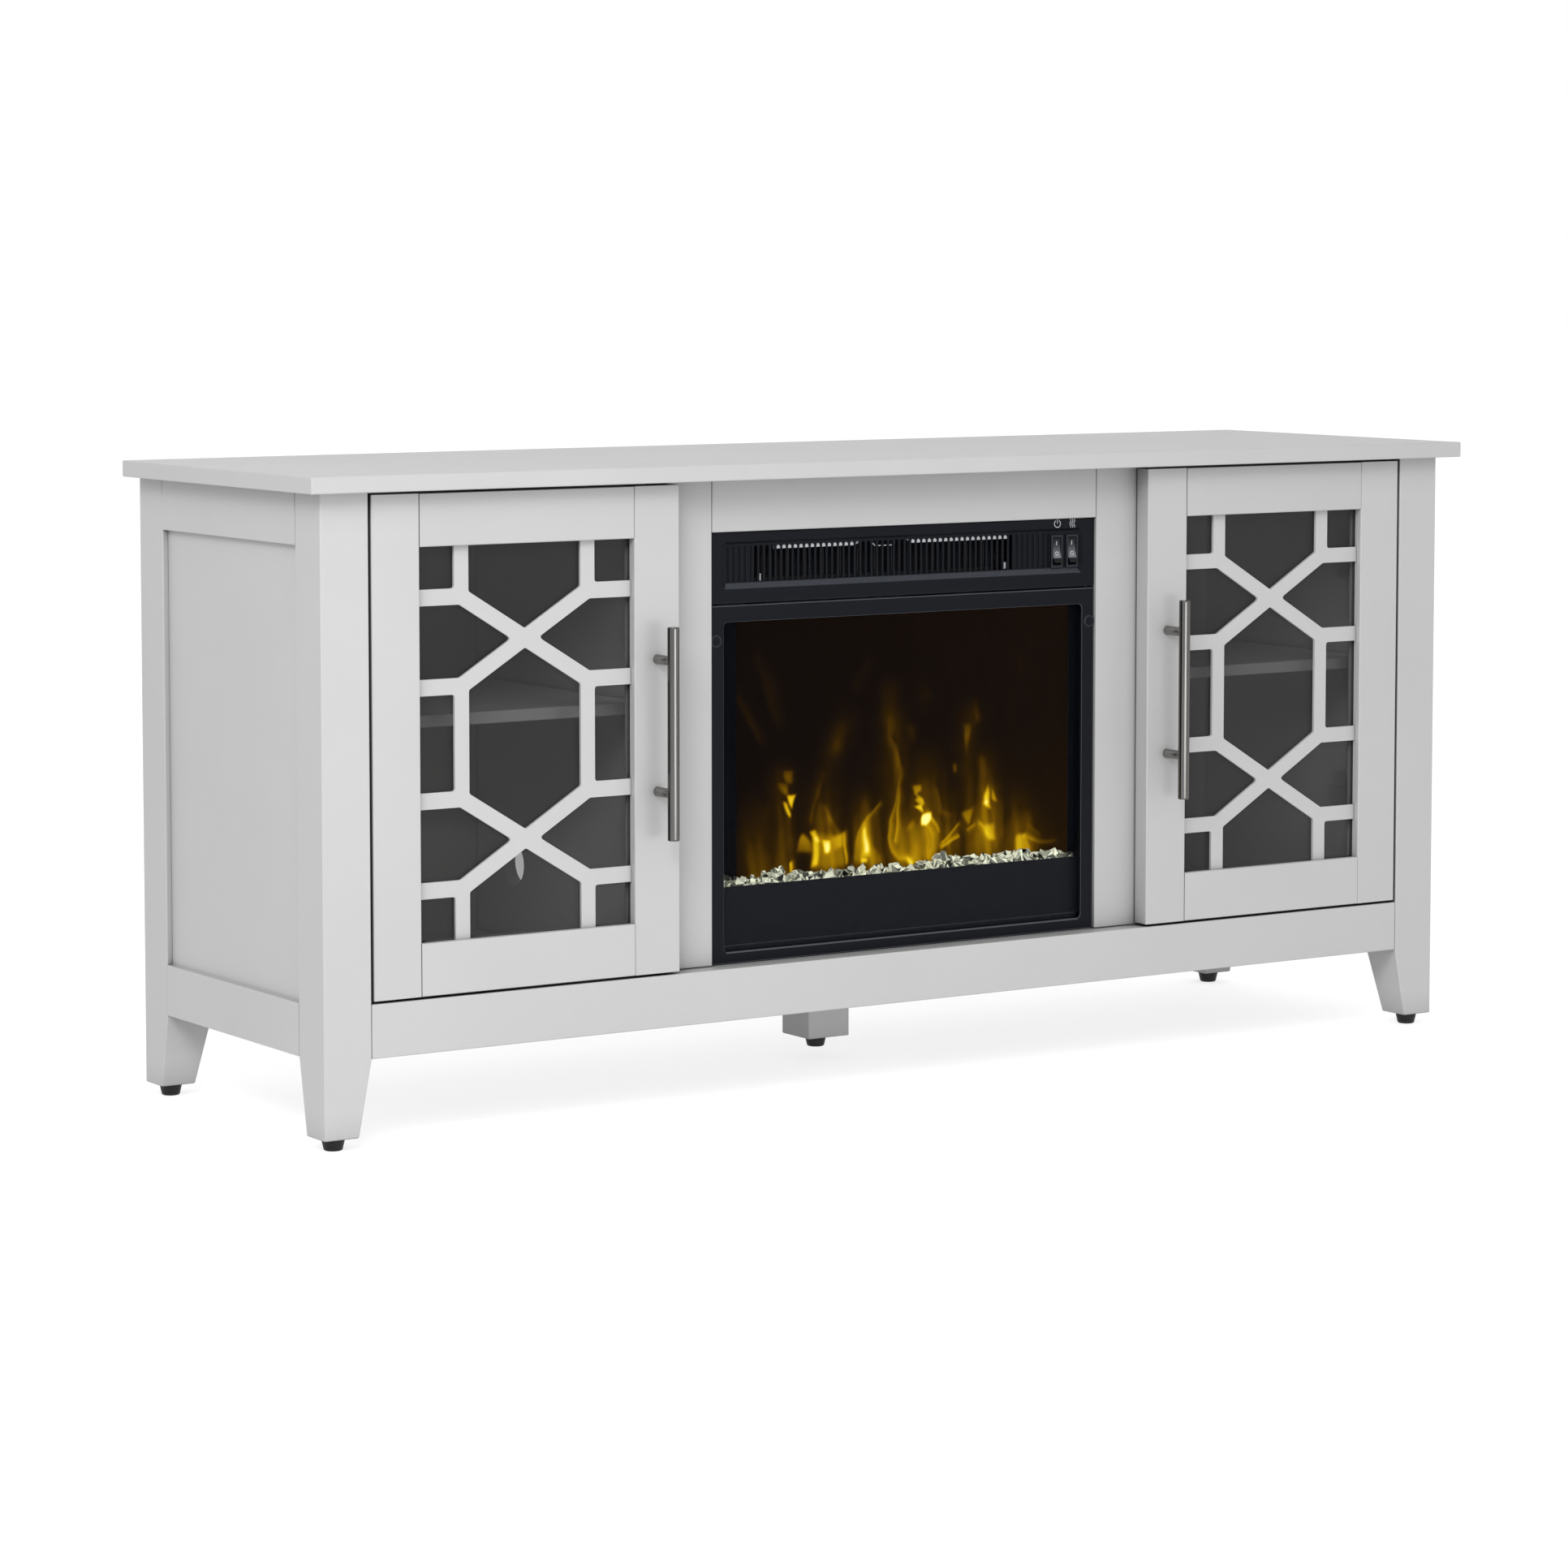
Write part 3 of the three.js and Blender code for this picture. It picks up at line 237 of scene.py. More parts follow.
fire_glass = glazed("fire_glass", (0.003, 0.0034, 0.0045), 0.08, 0.05)
mark_grey = painted("mark_grey", (0.62, 0.64, 0.66), 0.6)
edge_print = glazed("edge_print", (0.004, 0.006, 0.010), 0.6, 0.02)


def dress(material, *names):
    for name in names:
        node = nodes[name]
        node.data.materials.clear()
        node.data.materials.append(material)


def sides(*patterns):
    """The names of pairs, with left and then right in the place of each star."""
    return [p.replace("*", s) for p in patterns for s in ("left", "right")]


dress(
    paint,
    *["top_panel", "front_apron", "centre_leg"],
    *sides("front_*_leg", "rear_*_leg", "*_end_panel"),
    *sides("*_door_hinge_stile", "*_door_bottom_rail", "*_door_fretwork"),
)
dress(door_paint_shaded, *sides("*_door_handle_stile", "*_door_top_rail"))
dress(shelf_white, *sides("*_shelf"))
dress(recess_paint_shaded, "face_top_rail", *sides("*_face_stile"))
dress(laminate, "base_panel", *sides("*_side_board", "*_divider"))
dress(hardboard, "back_panel")
dress(moulding, "fire_frame", "heater_bezel")
dress(rocker_black_highlit, "power_rocker", "heat_rocker")
dress(glide_black, "centre_leveller", *sides("front_*_glide", "rear_*_glide"))
dress(sheet_black, "fire_housing", "ember_tray")
dress(fin_grey, "heating_element")
dress(zinc, "blower_wheel", "blower_motor")
dress(zinc, *sides("*_upper_hinge_cup", "*_lower_hinge_cup", "*_upper_hinge_arm"))
dress(zinc, *sides("*_lower_hinge_arm"))
dress(bright_steel, "flame_spindle")
dress(door_glass, *sides("*_door_glass"))
for name in sides("*_door_glass"):
    nodes[name].visible_shadow = False
dress(fire_glass, "fire_glass")
dress(nickel, *sides("*_door_handle"))


# Rounds on the edges of CAD nodes, in metres
BOARD_ROUND, FRAME_ROUND, BEZEL_ROUND = 0.0005, 0.0008, 0.0004
WELD_REACH = 0.00002


def soften(names, width, rim=None):
    """Rounds the hard edges of CAD nodes with modifiers; a rim material, where given, colours the
    rounds lighter as a painted highlight.
    """
    for name in names:
        node = nodes[name]
        weld = node.modifiers.new("weld", "WELD")
        weld.merge_threshold = WELD_REACH
        bevel = node.modifiers.new("round", "BEVEL")
        bevel.width = width
        bevel.segments = 2
        bevel.limit_method = "ANGLE"
        bevel.angle_limit = math.radians(30)
        if rim:
            node.data.materials.append(rim)
            bevel.material = 1


soften(
    [
        *["top_panel", "front_apron", "centre_leg", "face_top_rail"],
        *sides("front_*_leg", "rear_*_leg", "*_end_panel", "*_face_stile"),
        *sides("*_door_hinge_stile", "*_door_handle_stile", "*_door_top_rail"),
        *sides("*_door_bottom_rail", "*_shelf"),
    ],
    BOARD_ROUND,
)
# The rounds of the fire frame, ember tray and heater bezel take the lighter colour: a painted
# highlight along the edges
soften(["fire_frame", "ember_tray"], FRAME_ROUND, moulding_edge_highlight)
soften(["heater_bezel"], BEZEL_ROUND, bezel_edge_highlight)


def piece(name, bm, material, body, smooth=None):
    """A new mesh object from a bmesh in millimetres that rides on a body."""
    bmesh.ops.recalc_face_normals(bm, faces=bm.faces)
    for v in bm.verts:
        v.co = at(*v.co)
    mesh = bpy.data.meshes.new(name)
    bm.to_mesh(mesh)
    bm.free()
    mesh.materials.append(material)
    o = bpy.data.objects.new(name, mesh)
    bpy.context.collection.objects.link(o)
    if smooth is not None:
        mesh.shade_smooth()
        mesh.set_sharp_from_angle(angle=math.radians(smooth))
    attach(o, body)
    return o


def lathe(bm, profile, centre, axis, segments=40):
    """A turned form: profile is [(radius, distance along axis)] from one end to the other."""
    turn = Vector((0, 0, 1)).rotation_difference(Vector(axis)).to_matrix()
    rings = []
    for radius, along in profile:
        if radius == 0:
            rings.append([bm.verts.new(Vector(centre) + turn @ Vector((0, 0, along)))])
            continue
        ring = []
        for k in range(segments):
            a = 2 * math.pi * k / segments
            p = Vector((radius * math.cos(a), radius * math.sin(a), along))
            ring.append(bm.verts.new(Vector(centre) + turn @ p))
        rings.append(ring)
    for low, high in zip(rings, rings[1:]):
        for k in range(segments):
            j = (k + 1) % segments
            corners = [low[k % len(low)], low[j % len(low)]]
            corners += [high[j % len(high)], high[k % len(high)]]
            unique = list(dict.fromkeys(corners))
            if len(unique) > 2:
                bm.faces.new(unique)


def arc(radius_from, z_from, radius_to, z_to, outward=True):
    """Quarter-round between two points of a profile."""
    steps = 5
    points = []
    for k in range(steps + 1):
        a = math.pi / 2 * k / steps
        s, c = (math.sin(a), 1 - math.cos(a)) if outward else (1 - math.cos(a), math.sin(a))
        points.append((radius_from + (radius_to - radius_from) * s, z_from + (z_to - z_from) * c))
    return points


def prism(bm, front, back):
    """A closed solid between two outlines with the same count of places."""
    front = [bm.verts.new(p) for p in front]
    back = [bm.verts.new(p) for p in back]
    bm.faces.new(front)
    bm.faces.new(back[::-1])
    for k in range(len(front)):
        j = (k + 1) % len(front)
        bm.faces.new((front[k], back[k], back[j], front[j]))


def plate(bm, outline, y_front, thickness):
    """A flat plate from an outline of (x, z) places, its front face at y_front."""
    y_back = y_front + thickness
    prism(bm, [(x, y_front, z) for x, z in outline], [(x, y_back, z) for x, z in outline])


def bar(bm, section, half):
    """A bar along X, half to each side of the middle, from a section of (y, z) places."""
    prism(bm, [(-half, y, z) for y, z in section], [(half, y, z) for y, z in section])


def box_plate(bm, x0, x1, z0, z1, y_front, thickness):
    """A flat plate with four square corners."""
    plate(bm, [(x0, z0), (x1, z0), (x1, z1), (x0, z1)], y_front, thickness)


def band(bm, path, width, y_front, thickness):
    """A flat line of even width along a path of (x, z) places."""
    left, right = [], []
    for k, (x, z) in enumerate(path):
        x0, z0 = path[max(k - 1, 0)]
        x1, z1 = path[min(k + 1, len(path) - 1)]
        length = math.hypot(x1 - x0, z1 - z0)
        nx, nz = -(z1 - z0) / length * width / 2, (x1 - x0) / length * width / 2
        left.append((x + nx, z + nz))
        right.append((x - nx, z - nz))
    plate(bm, left + right[::-1], y_front, thickness)


def ring_path(x, z, radius, start, end, steps=20):
    """Places along an arc round (x, z) between two angles in degrees."""
    span = [math.radians(start + (end - start) * k / steps) for k in range(steps + 1)]
    return [(x + radius * math.cos(a), z + radius * math.sin(a)) for a in span]


SIDES = (("left", -1), ("right", 1))

# Bar handles, turned smooth with softened ends
HANDLE_X, HANDLE_Y = 310.05, -10
HANDLE_LOW, HANDLE_HIGH = 259.4, 465.4
HANDLE_RADIUS, HANDLE_END, HANDLE_ROUND = 5.8, 4.9, 0.9
LOW_ROUND, HIGH_ROUND = HANDLE_LOW + HANDLE_ROUND, HANDLE_HIGH - HANDLE_ROUND
# A ring this far inside each round keeps the smooth shading even along the bar
RING_GAP = 1
POST_HEIGHTS, POST_SEGMENTS = (304.4, 432.4), 32
POST_RADIUS, POST_NECK, POST_ROUND = 4.7, 4.4, 0.4
POST_START, POST_END = 4.6, 28.9
bar_profile = [
    (0, HANDLE_LOW),
    *arc(HANDLE_END, HANDLE_LOW, HANDLE_RADIUS, LOW_ROUND),
    (HANDLE_RADIUS, LOW_ROUND + RING_GAP),
    (HANDLE_RADIUS, HIGH_ROUND - RING_GAP),
    *arc(HANDLE_RADIUS, HIGH_ROUND, HANDLE_END, HANDLE_HIGH, outward=False),
    (0, HANDLE_HIGH),
]
post_profile = [
    (0, POST_START),
    (POST_NECK, POST_START),
    (POST_RADIUS, POST_START + POST_ROUND),
    (POST_RADIUS, POST_END),
    (0, POST_END),
]
for side, sign in SIDES:
    x = sign * HANDLE_X
    bm = bmesh.new()
    lathe(bm, bar_profile, (x, HANDLE_Y, 0), (0, 0, 1))
    handle = piece(f"{side}_handle_bar", bm, nickel, f"{side}_door", smooth=40)
    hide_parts(f"{side}_door_handle")
    bm = bmesh.new()
    for z in POST_HEIGHTS:
        lathe(bm, post_profile, (x, HANDLE_Y, z), (0, 1, 0), POST_SEGMENTS)
    piece(f"{side}_handle_posts", bm, post_nickel, f"{side}_door", smooth=40)

# Glides under the legs and the centre leg's levelling foot
GLIDE_X, GLIDE_HEIGHT, GLIDE_GAP = 655.5, 12, 0.3
GLIDE_ROWS = (("front", 37.45), ("rear", 381.75))
GLIDE_TOP = GLIDE_HEIGHT - GLIDE_GAP
SOLE_RADIUS, EDGE_RADIUS, EDGE_HEIGHT = 7.2, 9.2, 2.0
SHOULDER_RADIUS, SHOULDER_HEIGHT, TOP_RADIUS = 11.3, 10.9, 10.5
STEM_RADIUS, STEM_TOP, STEM_Y = 4, 45.7, 209.6
foot_sides = [
    (0, 0),
    (SOLE_RADIUS, 0),
    *arc(SOLE_RADIUS, 0, EDGE_RADIUS, EDGE_HEIGHT),
    *arc(SHOULDER_RADIUS, SHOULDER_HEIGHT, TOP_RADIUS, GLIDE_TOP, outward=False),
]
for side, sign in SIDES:
    for row, y in GLIDE_ROWS:
        bm = bmesh.new()
        lathe(bm, [*foot_sides, (0, GLIDE_TOP)], (sign * GLIDE_X, y, -GLIDE_HEIGHT), (0, 0, 1))
        glide = piece(f"{row}_{side}_foot", bm, glide_black, "cabinet", smooth=50)
        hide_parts(f"{row}_{side}_glide")
bm = bmesh.new()
stem = [(STEM_RADIUS, GLIDE_TOP), (STEM_RADIUS, STEM_TOP), (0, STEM_TOP)]
lathe(bm, [*foot_sides, *stem], (0, STEM_Y, 0), (0, 0, 1))
foot = piece("levelling_foot", bm, glide_black, "centre_leveller", smooth=50)
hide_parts("centre_leveller")

# Fire image on the screen behind the bed of glass
SCREEN_HALF, TOP_GAP = 218, 3
FINE_LOW, FINE_HIGH = 195, 312
FINE_STEP, COARSE_STEP = 1.3, 3.5
# DIM is the brightness of the dark chamber, from CHAMBER_FOOT up
DIM = 0.03
CHAMBER_FOOT = 165
# STROKES are thin folds of light, each a list of (x, z, half width, brightness)
STROKES = [
    [(-179.8, 385.4, 1.7, 0.05), (-171, 367.6, 2, 0.07), (-154.8, 339.5, 2.3, 0.06)],
    [(-159.3, 423.9, 3.5, 0.03), (-144.5, 388.5, 4.1, 0.04), (-134.2, 358.1, 3.5, 0.03)],
    [(-79.2, 300, 2.4, 0.08), (-88.2, 275.6, 1.7, 0.09), (-92.6, 255.9, 1.7, 0.09)],
    [(3.9, 330.2, 2.3, 0.12), (13.1, 309.5, 2.3, 0.17), (17.7, 289, 1.7, 0.15)],
    [(48.4, 375.9, 3.5, 0.04), (49, 373.3, 3.5, 0.04)],
    [(165.6, 408.3, 1.5, 0.03), (167.2, 392.8, 1.5, 0.03)],
    [(-28, 410.1, 2.3, 0.02), (-40.1, 385.5, 2.3, 0.03)],
    [(-147.5, 272, 2.3, 0.05), (-149, 259.7, 2.3, 0.05)],
    [(-117, 214.3, 1.2, 0.7), (-117, 205.6, 1.5, 0.5)],
    [(-77.5, 229, 1.3, 1.0), (-76.2, 224.5, 1.5, 1.0)],
    [(44.5, 247.5, 1.7, 1.0), (47, 246, 1.9, 1.0)],
    [(-53.4, 240, 1.5, 0.4), (-52.1, 218.2, 0.9, 0.6), (-51.6, 210.1, 0.9, 0.4)],
    [(-75, 267.2, 1.5, 0.12), (-70.2, 256, 2, 0.15), (-60.6, 243.3, 1.7, 0.12)],
    [
        (-40.7, 214, 2.5, 0.14), (-34, 239.4, 2, 0.25), (-25, 254.4, 1.7, 0.24),
        (-11, 265.7, 1.4, 0.22),
    ],
    [
        (29.5, 207.5, 2.3, 0.35), (14.5, 210, 2.3, 0.35), (7, 217.5, 2, 0.36),
        (2, 232.5, 1.9, 0.34), (3.3, 250, 1.9, 0.28), (11, 271.7, 1.7, 0.2),
        (17.7, 294, 1.7, 0.12),
    ],
    [
        (10.3, 228.3, 1.4, 0.4), (11.5, 260, 1.4, 0.34), (14.6, 280.3, 1.4, 0.22),
        (15.5, 300, 1.4, 0.15),
    ],
    [
        (47.5, 241, 3.0, 0.35), (54.5, 230, 3.4, 0.38), (55.8, 217.5, 3.4, 0.34),
        (50.8, 207.5, 3.0, 0.3),
    ],
    [(46.6, 236, 1.5, 0.25), (51.3, 223.5, 1.5, 0.3), (50, 209.3, 1.5, 0.3)],
    [(51.6, 249.8, 2.4, 0.6), (57, 243, 2.0, 0.45), (62.5, 234, 1.6, 0.3)],
    [(66.9, 222.5, 1.5, 0.45), (77.8, 230.4, 1.2, 0.35), (88.4, 239, 1.0, 0.28)],
    [(66.5, 218.8, 1.7, 0.5), (76, 223.2, 1.7, 0.45), (87, 226.3, 1.5, 0.35)],
    [(99, 233.6, 1.5, 0.22), (107, 237.5, 1.5, 0.3)],
    [(115.2, 238, 1.6, 0.4), (120, 233.5, 1.8, 0.4), (124.3, 227, 2.0, 0.3)],
    [(141.9, 262, 2.3, 0.03), (142.5, 224.7, 2.9, 0.08)],
    [(172, 222.5, 1.7, 0.3), (179, 217.5, 1.6, 0.3), (187, 215, 1.5, 0.2), (210, 213.2, 1.5, 0.1)],
    [(176, 231.5, 1.5, 0.1), (190, 222, 1.7, 0.08)],
    [(60.8, 275, 2.5, 0.08), (66.9, 255, 2.2, 0.12), (77.8, 249.5, 1.6, 0.08)],
]
# SHEETS are flat folds of light:
# (brightness above, below, softness, [(x, z) corners of a convex form])
SHEETS = [
    (0.16, 0.22, 1.0, [(-127.5, 307), (-115, 308), (-115.5, 294.5), (-123.5, 297)]),
    (0.18, 0.26, 1.0, [(-131, 294.5), (-121.7, 294.5), (-121, 283.8), (-126.8, 284.3)]),
    (0.58, 0.74, 0.6, [(-121.7, 283), (-110.5, 282.5), (-116, 268.8), (-119.3, 276.5)]),
    (0.50, 0.72, 0.6, [(-126, 276.3), (-121, 275.5), (-117.8, 263), (-118.5, 260.5), (-121, 262)]),
    (
        0.40, 0.22, 0.9,
        [(-109.3, 237.5), (-104.3, 243), (-94.3, 235), (-93, 223.8), (-109.3, 223.8)],
    ),
    (0.62, 0.60, 0.8, [(-97, 243.8), (-89.3, 245.8), (-82.5, 233), (-86.5, 231.5), (-91, 237)]),
    (0.58, 0.64, 0.9, [(-91.5, 240), (-84.8, 237), (-84.5, 209.5), (-91.8, 208.5)]),
    (0.22, 0.20, 2.0, [(-86, 240), (-52, 239), (-50.5, 206), (-88, 206)]),
    (0.72, 0.62, 0.6, [(-80.5, 234.3), (-71.3, 233.8), (-72.3, 222), (-77.8, 220.5)]),
    (0.80, 0.95, 1.2, [(-77.5, 229), (-72.5, 229), (-73, 222.5), (-77, 222.5)]),
    (0.34, 0.26, 0.9, [(-69, 236), (-54.5, 239.5), (-53.5, 226), (-66, 224)]),
    (0.26, 0.50, 1.1, [(-30.5, 250), (-26, 249), (-20, 224), (-20.8, 214), (-34, 212)]),
    (0.55, 0.60, 0.7, [(-29.5, 243), (-26.2, 243), (-22.5, 219), (-28.8, 217)]),
    (0.18, 0.14, 1.5, [(-36, 236), (-30, 240), (-31, 208), (-44, 208)]),
    (0.70, 0.70, 0.6, [(-33.5, 212), (-26, 212.5), (-24.8, 209), (-33, 207.5)]),
    (0.16, 0.16, 1.3, [(-20, 224), (-14, 223), (-7.5, 213), (-9, 206), (-22, 206)]),
    (0.10, 0.14, 3.0, [(4, 246), (54, 240), (57, 206), (4, 206)]),
    (0.60, 1.00, 1.0, [(25.3, 210.5), (28, 210), (32.5, 204.5), (30, 201), (24.8, 205)]),
    (
        0.85, 0.85, 0.5,
        [(40.2, 247.5), (42.5, 252), (54.2, 254.5), (54, 247.5), (47.5, 240.5), (41, 240.8)],
    ),
    (0.90, 0.90, 0.9, [(42.5, 249.5), (50, 250), (49.5, 244), (43.5, 243.5)]),
    (0.30, 0.34, 0.7, [(30.8, 283), (40.8, 282.5), (42.3, 277), (34.5, 273.5)]),
    (0.50, 0.62, 0.5, [(34.8, 274.5), (37.5, 270.5), (45.3, 262.5), (44.8, 267.8)]),
    (0.50, 0.50, 0.5, [(34.8, 268.5), (38, 270), (45.3, 262), (42, 261.5)]),
    (0.66, 0.66, 0.5, [(32.8, 261.5), (42, 262.5), (43.4, 253), (38, 257)]),
    (0.12, 0.16, 1.0, [(24.5, 244.5), (32, 248.8), (32, 240), (23.3, 237.5)]),
    (0.20, 0.36, 0.9, [(92, 250), (107, 256), (106.5, 248), (102, 237.8)]),
    (0.55, 0.66, 0.7, [(118, 265), (124.3, 276.8), (126, 262), (122, 257)]),
    (0.62, 0.70, 0.7, [(118, 260), (125.8, 262), (128, 253.3), (122, 255)]),
    (0.50, 0.44, 0.7, [(128.6, 273), (136.2, 259.8), (129.2, 262.8)]),
    (0.06, 0.12, 3.5, [(112, 256), (134, 260), (140, 240), (124, 232), (112, 236)]),
    (0.36, 0.50, 0.9, [(121, 236.5), (133.5, 237.3), (133.8, 221), (125.5, 220.8)]),
    (0.10, 0.12, 2.5, [(96, 232), (142, 236), (143, 206), (96, 206)]),
    (0.38, 0.36, 0.8, [(162, 223.5), (173, 222.8), (180.5, 207), (160.3, 206)]),
    (0.20, 0.22, 1.0, [(79.5, 302.5), (84.5, 302.5), (85, 293), (80.8, 293.8)]),
    (0.03, 0.09, 2.5, [(-7.5, 392), (12, 392), (10, 335), (-3, 335)]),
    (0.05, 0.10, 2.0, [(-65, 352), (-50.5, 354), (-54, 322), (-68.5, 320)]),
    (0.13, 0.19, 1.0, [(92.8, 342), (101.8, 340), (101.2, 326), (95.5, 327)]),
    (0.17, 0.12, 1.0, [(96.3, 328), (101, 327), (98, 311.5)]),
    (0.06, 0.12, 1.0, [(107, 368), (110, 366), (114, 345), (108, 343)]),
    (0.08, 0.06, 1.0, [(23, 345), (34, 344), (33, 327), (29, 328)]),
    (0.05, 0.06, 1.6, [(113, 308), (123.5, 307), (124, 286), (116, 287)]),
]
# HAZE is wide and soft, drawn as strokes are
HAZE = [
    [(-160, 262, 18, 0.06), (-153, 206, 24, 0.2)],
    [(-129.8, 300, 13, 0.06), (-128, 250, 14, 0.12), (-126, 206, 15, 0.2)],
    [(-79, 275, 18, 0.08), (-77, 250, 19, 0.2), (-72, 209, 22, 0.2)],
    [(-30, 262, 16, 0.12), (-26, 240, 20, 0.24), (-24, 209, 22, 0.26)],
    [(6, 345, 17, 0.07), (8, 294, 18, 0.10), (10, 250, 20, 0.16), (22, 207, 26, 0.2)],
    [(44, 300, 18, 0.08), (46, 272, 18, 0.2), (46, 240, 22, 0.28), (40, 206, 24, 0.28)],
    [(78, 262, 14, 0.08), (76, 230, 18, 0.17), (74, 206, 20, 0.16)],
    [(121, 300, 15, 0.08), (123, 270, 17, 0.2), (122, 240, 22, 0.22), (118, 206, 24, 0.2)],
    [(156, 250, 20, 0.09), (162, 228, 22, 0.2), (168, 206, 24, 0.26)],
    [(-52.2, 353.6, 16, 0.02), (-62, 330, 14, 0.05), (-76, 296, 12, 0.04)],
    [(100, 350, 13, 0.06), (99, 314.5, 13, 0.07), (100, 260, 14, 0.13), (100, 235, 14, 0.16)],
    [(60, 285, 14, 0.06), (66, 255, 14, 0.12)],
]
# GAPS are dark folds between the flames: (x, z, half width, half height, share of light left)
GAPS = [
    (-103, 211, 10, 9, 0.35),
    (-46.5, 226, 4, 22, 0.45),
    (91, 262, 6, 22, 0.7),
    (-98, 268, 5, 14, 0.8),
    (149, 250, 6, 30, 0.8),
    (63, 212, 3, 9, 0.6),
]
# How steeply light falls off from the middle of haze, of strokes and on a stroke's soft side
HAZE_FALL, STROKE_FALL, SOFT_FALL = 2, 2.4, 1.3
# How much wider a stroke is on its soft side
SOFT_SIDE = 2.2


def ease(x):
    """A smooth step from 0 to 1 round x = 0, kept within the range of the exponential."""
    return 1 / (1 + np.exp(-np.clip(x, -30, 30)))


def field(strokes, X, Z, fall, soft_side=1.0):
    """Brightness over a grid of places, the brightest stroke winning at each place.

    With a soft side over 1, each stroke fades more slowly on one side, as a fold of light does.
    """
    total = np.zeros_like(X)
    for points in strokes:
        faded = math.copysign(1, math.sin(points[0][1]))
        for (x0, z0, w0, b0), (x1, z1, w1, b1) in zip(points, points[1:]):
            dx, dz = x1 - x0, z1 - z0
            squared = max(dx * dx + dz * dz, 1e-6)
            t = np.clip(((X - x0) * dx + (Z - z0) * dz) / squared, 0, 1)
            off_x, off_z = X - (x0 + t * dx), Z - (z0 + t * dz)
            soft = ease(6 * (off_x * faded / (w0 + w1)))
            w = (w0 + (w1 - w0) * t) * (1 + (soft_side - 1) * soft)
            power = fall - (fall - SOFT_FALL) * soft * (soft_side > 1)
            fade = np.exp(-((np.hypot(off_x, off_z) / w) ** power))
            total = np.maximum(total, (b0 + (b1 - b0) * t) * fade)
    return total


def folds(sheets, X, Z):
    """Light through flat folds that lie over each other."""
    kept = np.ones_like(X)
    for top, bottom, soft, points in sheets:
        edges = list(zip(points, points[1:] + points[:1]))
        turn = math.copysign(1, sum(a[0] * b[1] - b[0] * a[1] for a, b in edges))
        inside = np.ones_like(X)
        for (x0, z0), (x1, z1) in edges:
            dx, dz = x1 - x0, z1 - z0
            depth = ((Z - z0) * dx - (X - x0) * dz) / math.hypot(dx, dz) * turn
            inside *= ease(depth / soft)
        z_low, z_high = min(q[1] for q in points), max(q[1] for q in points)
        share = np.clip((Z - z_low) / (z_high - z_low), 0, 1)
        kept *= 1 - np.clip(bottom + (top - bottom) * share, 0, 0.97) * inside
    return 1 - kept


def flame_heat(X, Z):
    """Brightness of the whole image: the tables' forms, bent and streaked by a few waves."""
    bend = 0.9 * np.sin(Z / 11 + X / 23) + 0.5 * np.sin(Z / 4.3 - X / 9)
    strokes = field(STROKES, X + bend, Z + 0.8 * np.sin(X / 5), STROKE_FALL, SOFT_SIDE)
    sheets = folds(SHEETS, X + bend, Z + 0.5 * np.sin(X / 4))
    haze = field(HAZE, X + 2 * bend, Z, HAZE_FALL)
    streak = 0.5 + 0.5 * np.sin(X / 2.3 + 2.2 * np.sin(Z / 37) + 1.5 * np.sin(X / 11))
    streak = 0.78 + 0.46 * streak * (0.5 + 0.5 * np.sin(X / 7.7 + Z / 53))
    for x, z, wide, high, share in GAPS:
        off = ((X - x) / wide) ** 2 + ((Z - z) / high) ** 2
        haze *= 1 - (1 - share) * np.exp(-(off**2))
    # The chamber is lighter low down, but not at its left end
    low = np.clip((330 - Z) / 120, 0, 1) * np.clip((X + 185) / 50, 0, 1)
    chamber = np.where(Z > CHAMBER_FOOT, DIM * (1 + 0.25 * X / SCREEN_HALF + 0.9 * low), 0)
    dark = (1 - chamber) * (1 - haze * streak)
    dark = dark * (1 - sheets * (0.9 + 0.2 * streak)) * (1 - 0.9 * strokes)
    return np.clip(1 - dark, 0, 1)


def flame_material():
    """Light by the brightness written on the screen, from black through amber to pale yellow."""
    m = Nodes("fire_image")
    glow = m.new("ShaderNodeAttribute", attribute_name="glow").outputs["Fac"]
    grain = m.span(m.noise(90, 3, (1, 1, 0.25)), 0.8, 1.2)
    flicker = m.new("ShaderNodeMath", {0: glow, 1: grain}, operation="MULTIPLY")
    stops = [
        (0.0, (0.001, 0.001, 0.001)),
        (DIM, (0.0070, 0.0038, 0.0026)),
        (0.12, (0.030, 0.0138, 0.0012)),
        (0.25, (0.13, 0.060, 0.001)),
        (0.50, (0.52, 0.28, 0.002)),
        (0.75, (1.02, 0.70, 0.012)),
        (1.0, (1.5, 1.3, 0.40)),
    ]
    m.principled(
        Base_Color=(0.001, 0.001, 0.001, 1),
        Roughness=0.6,
        Specular_IOR_Level=0.0,
        Emission_Color=m.stops(flicker.outputs[0], stops),
        Emission_Strength=1.0,
    )
    return m.material


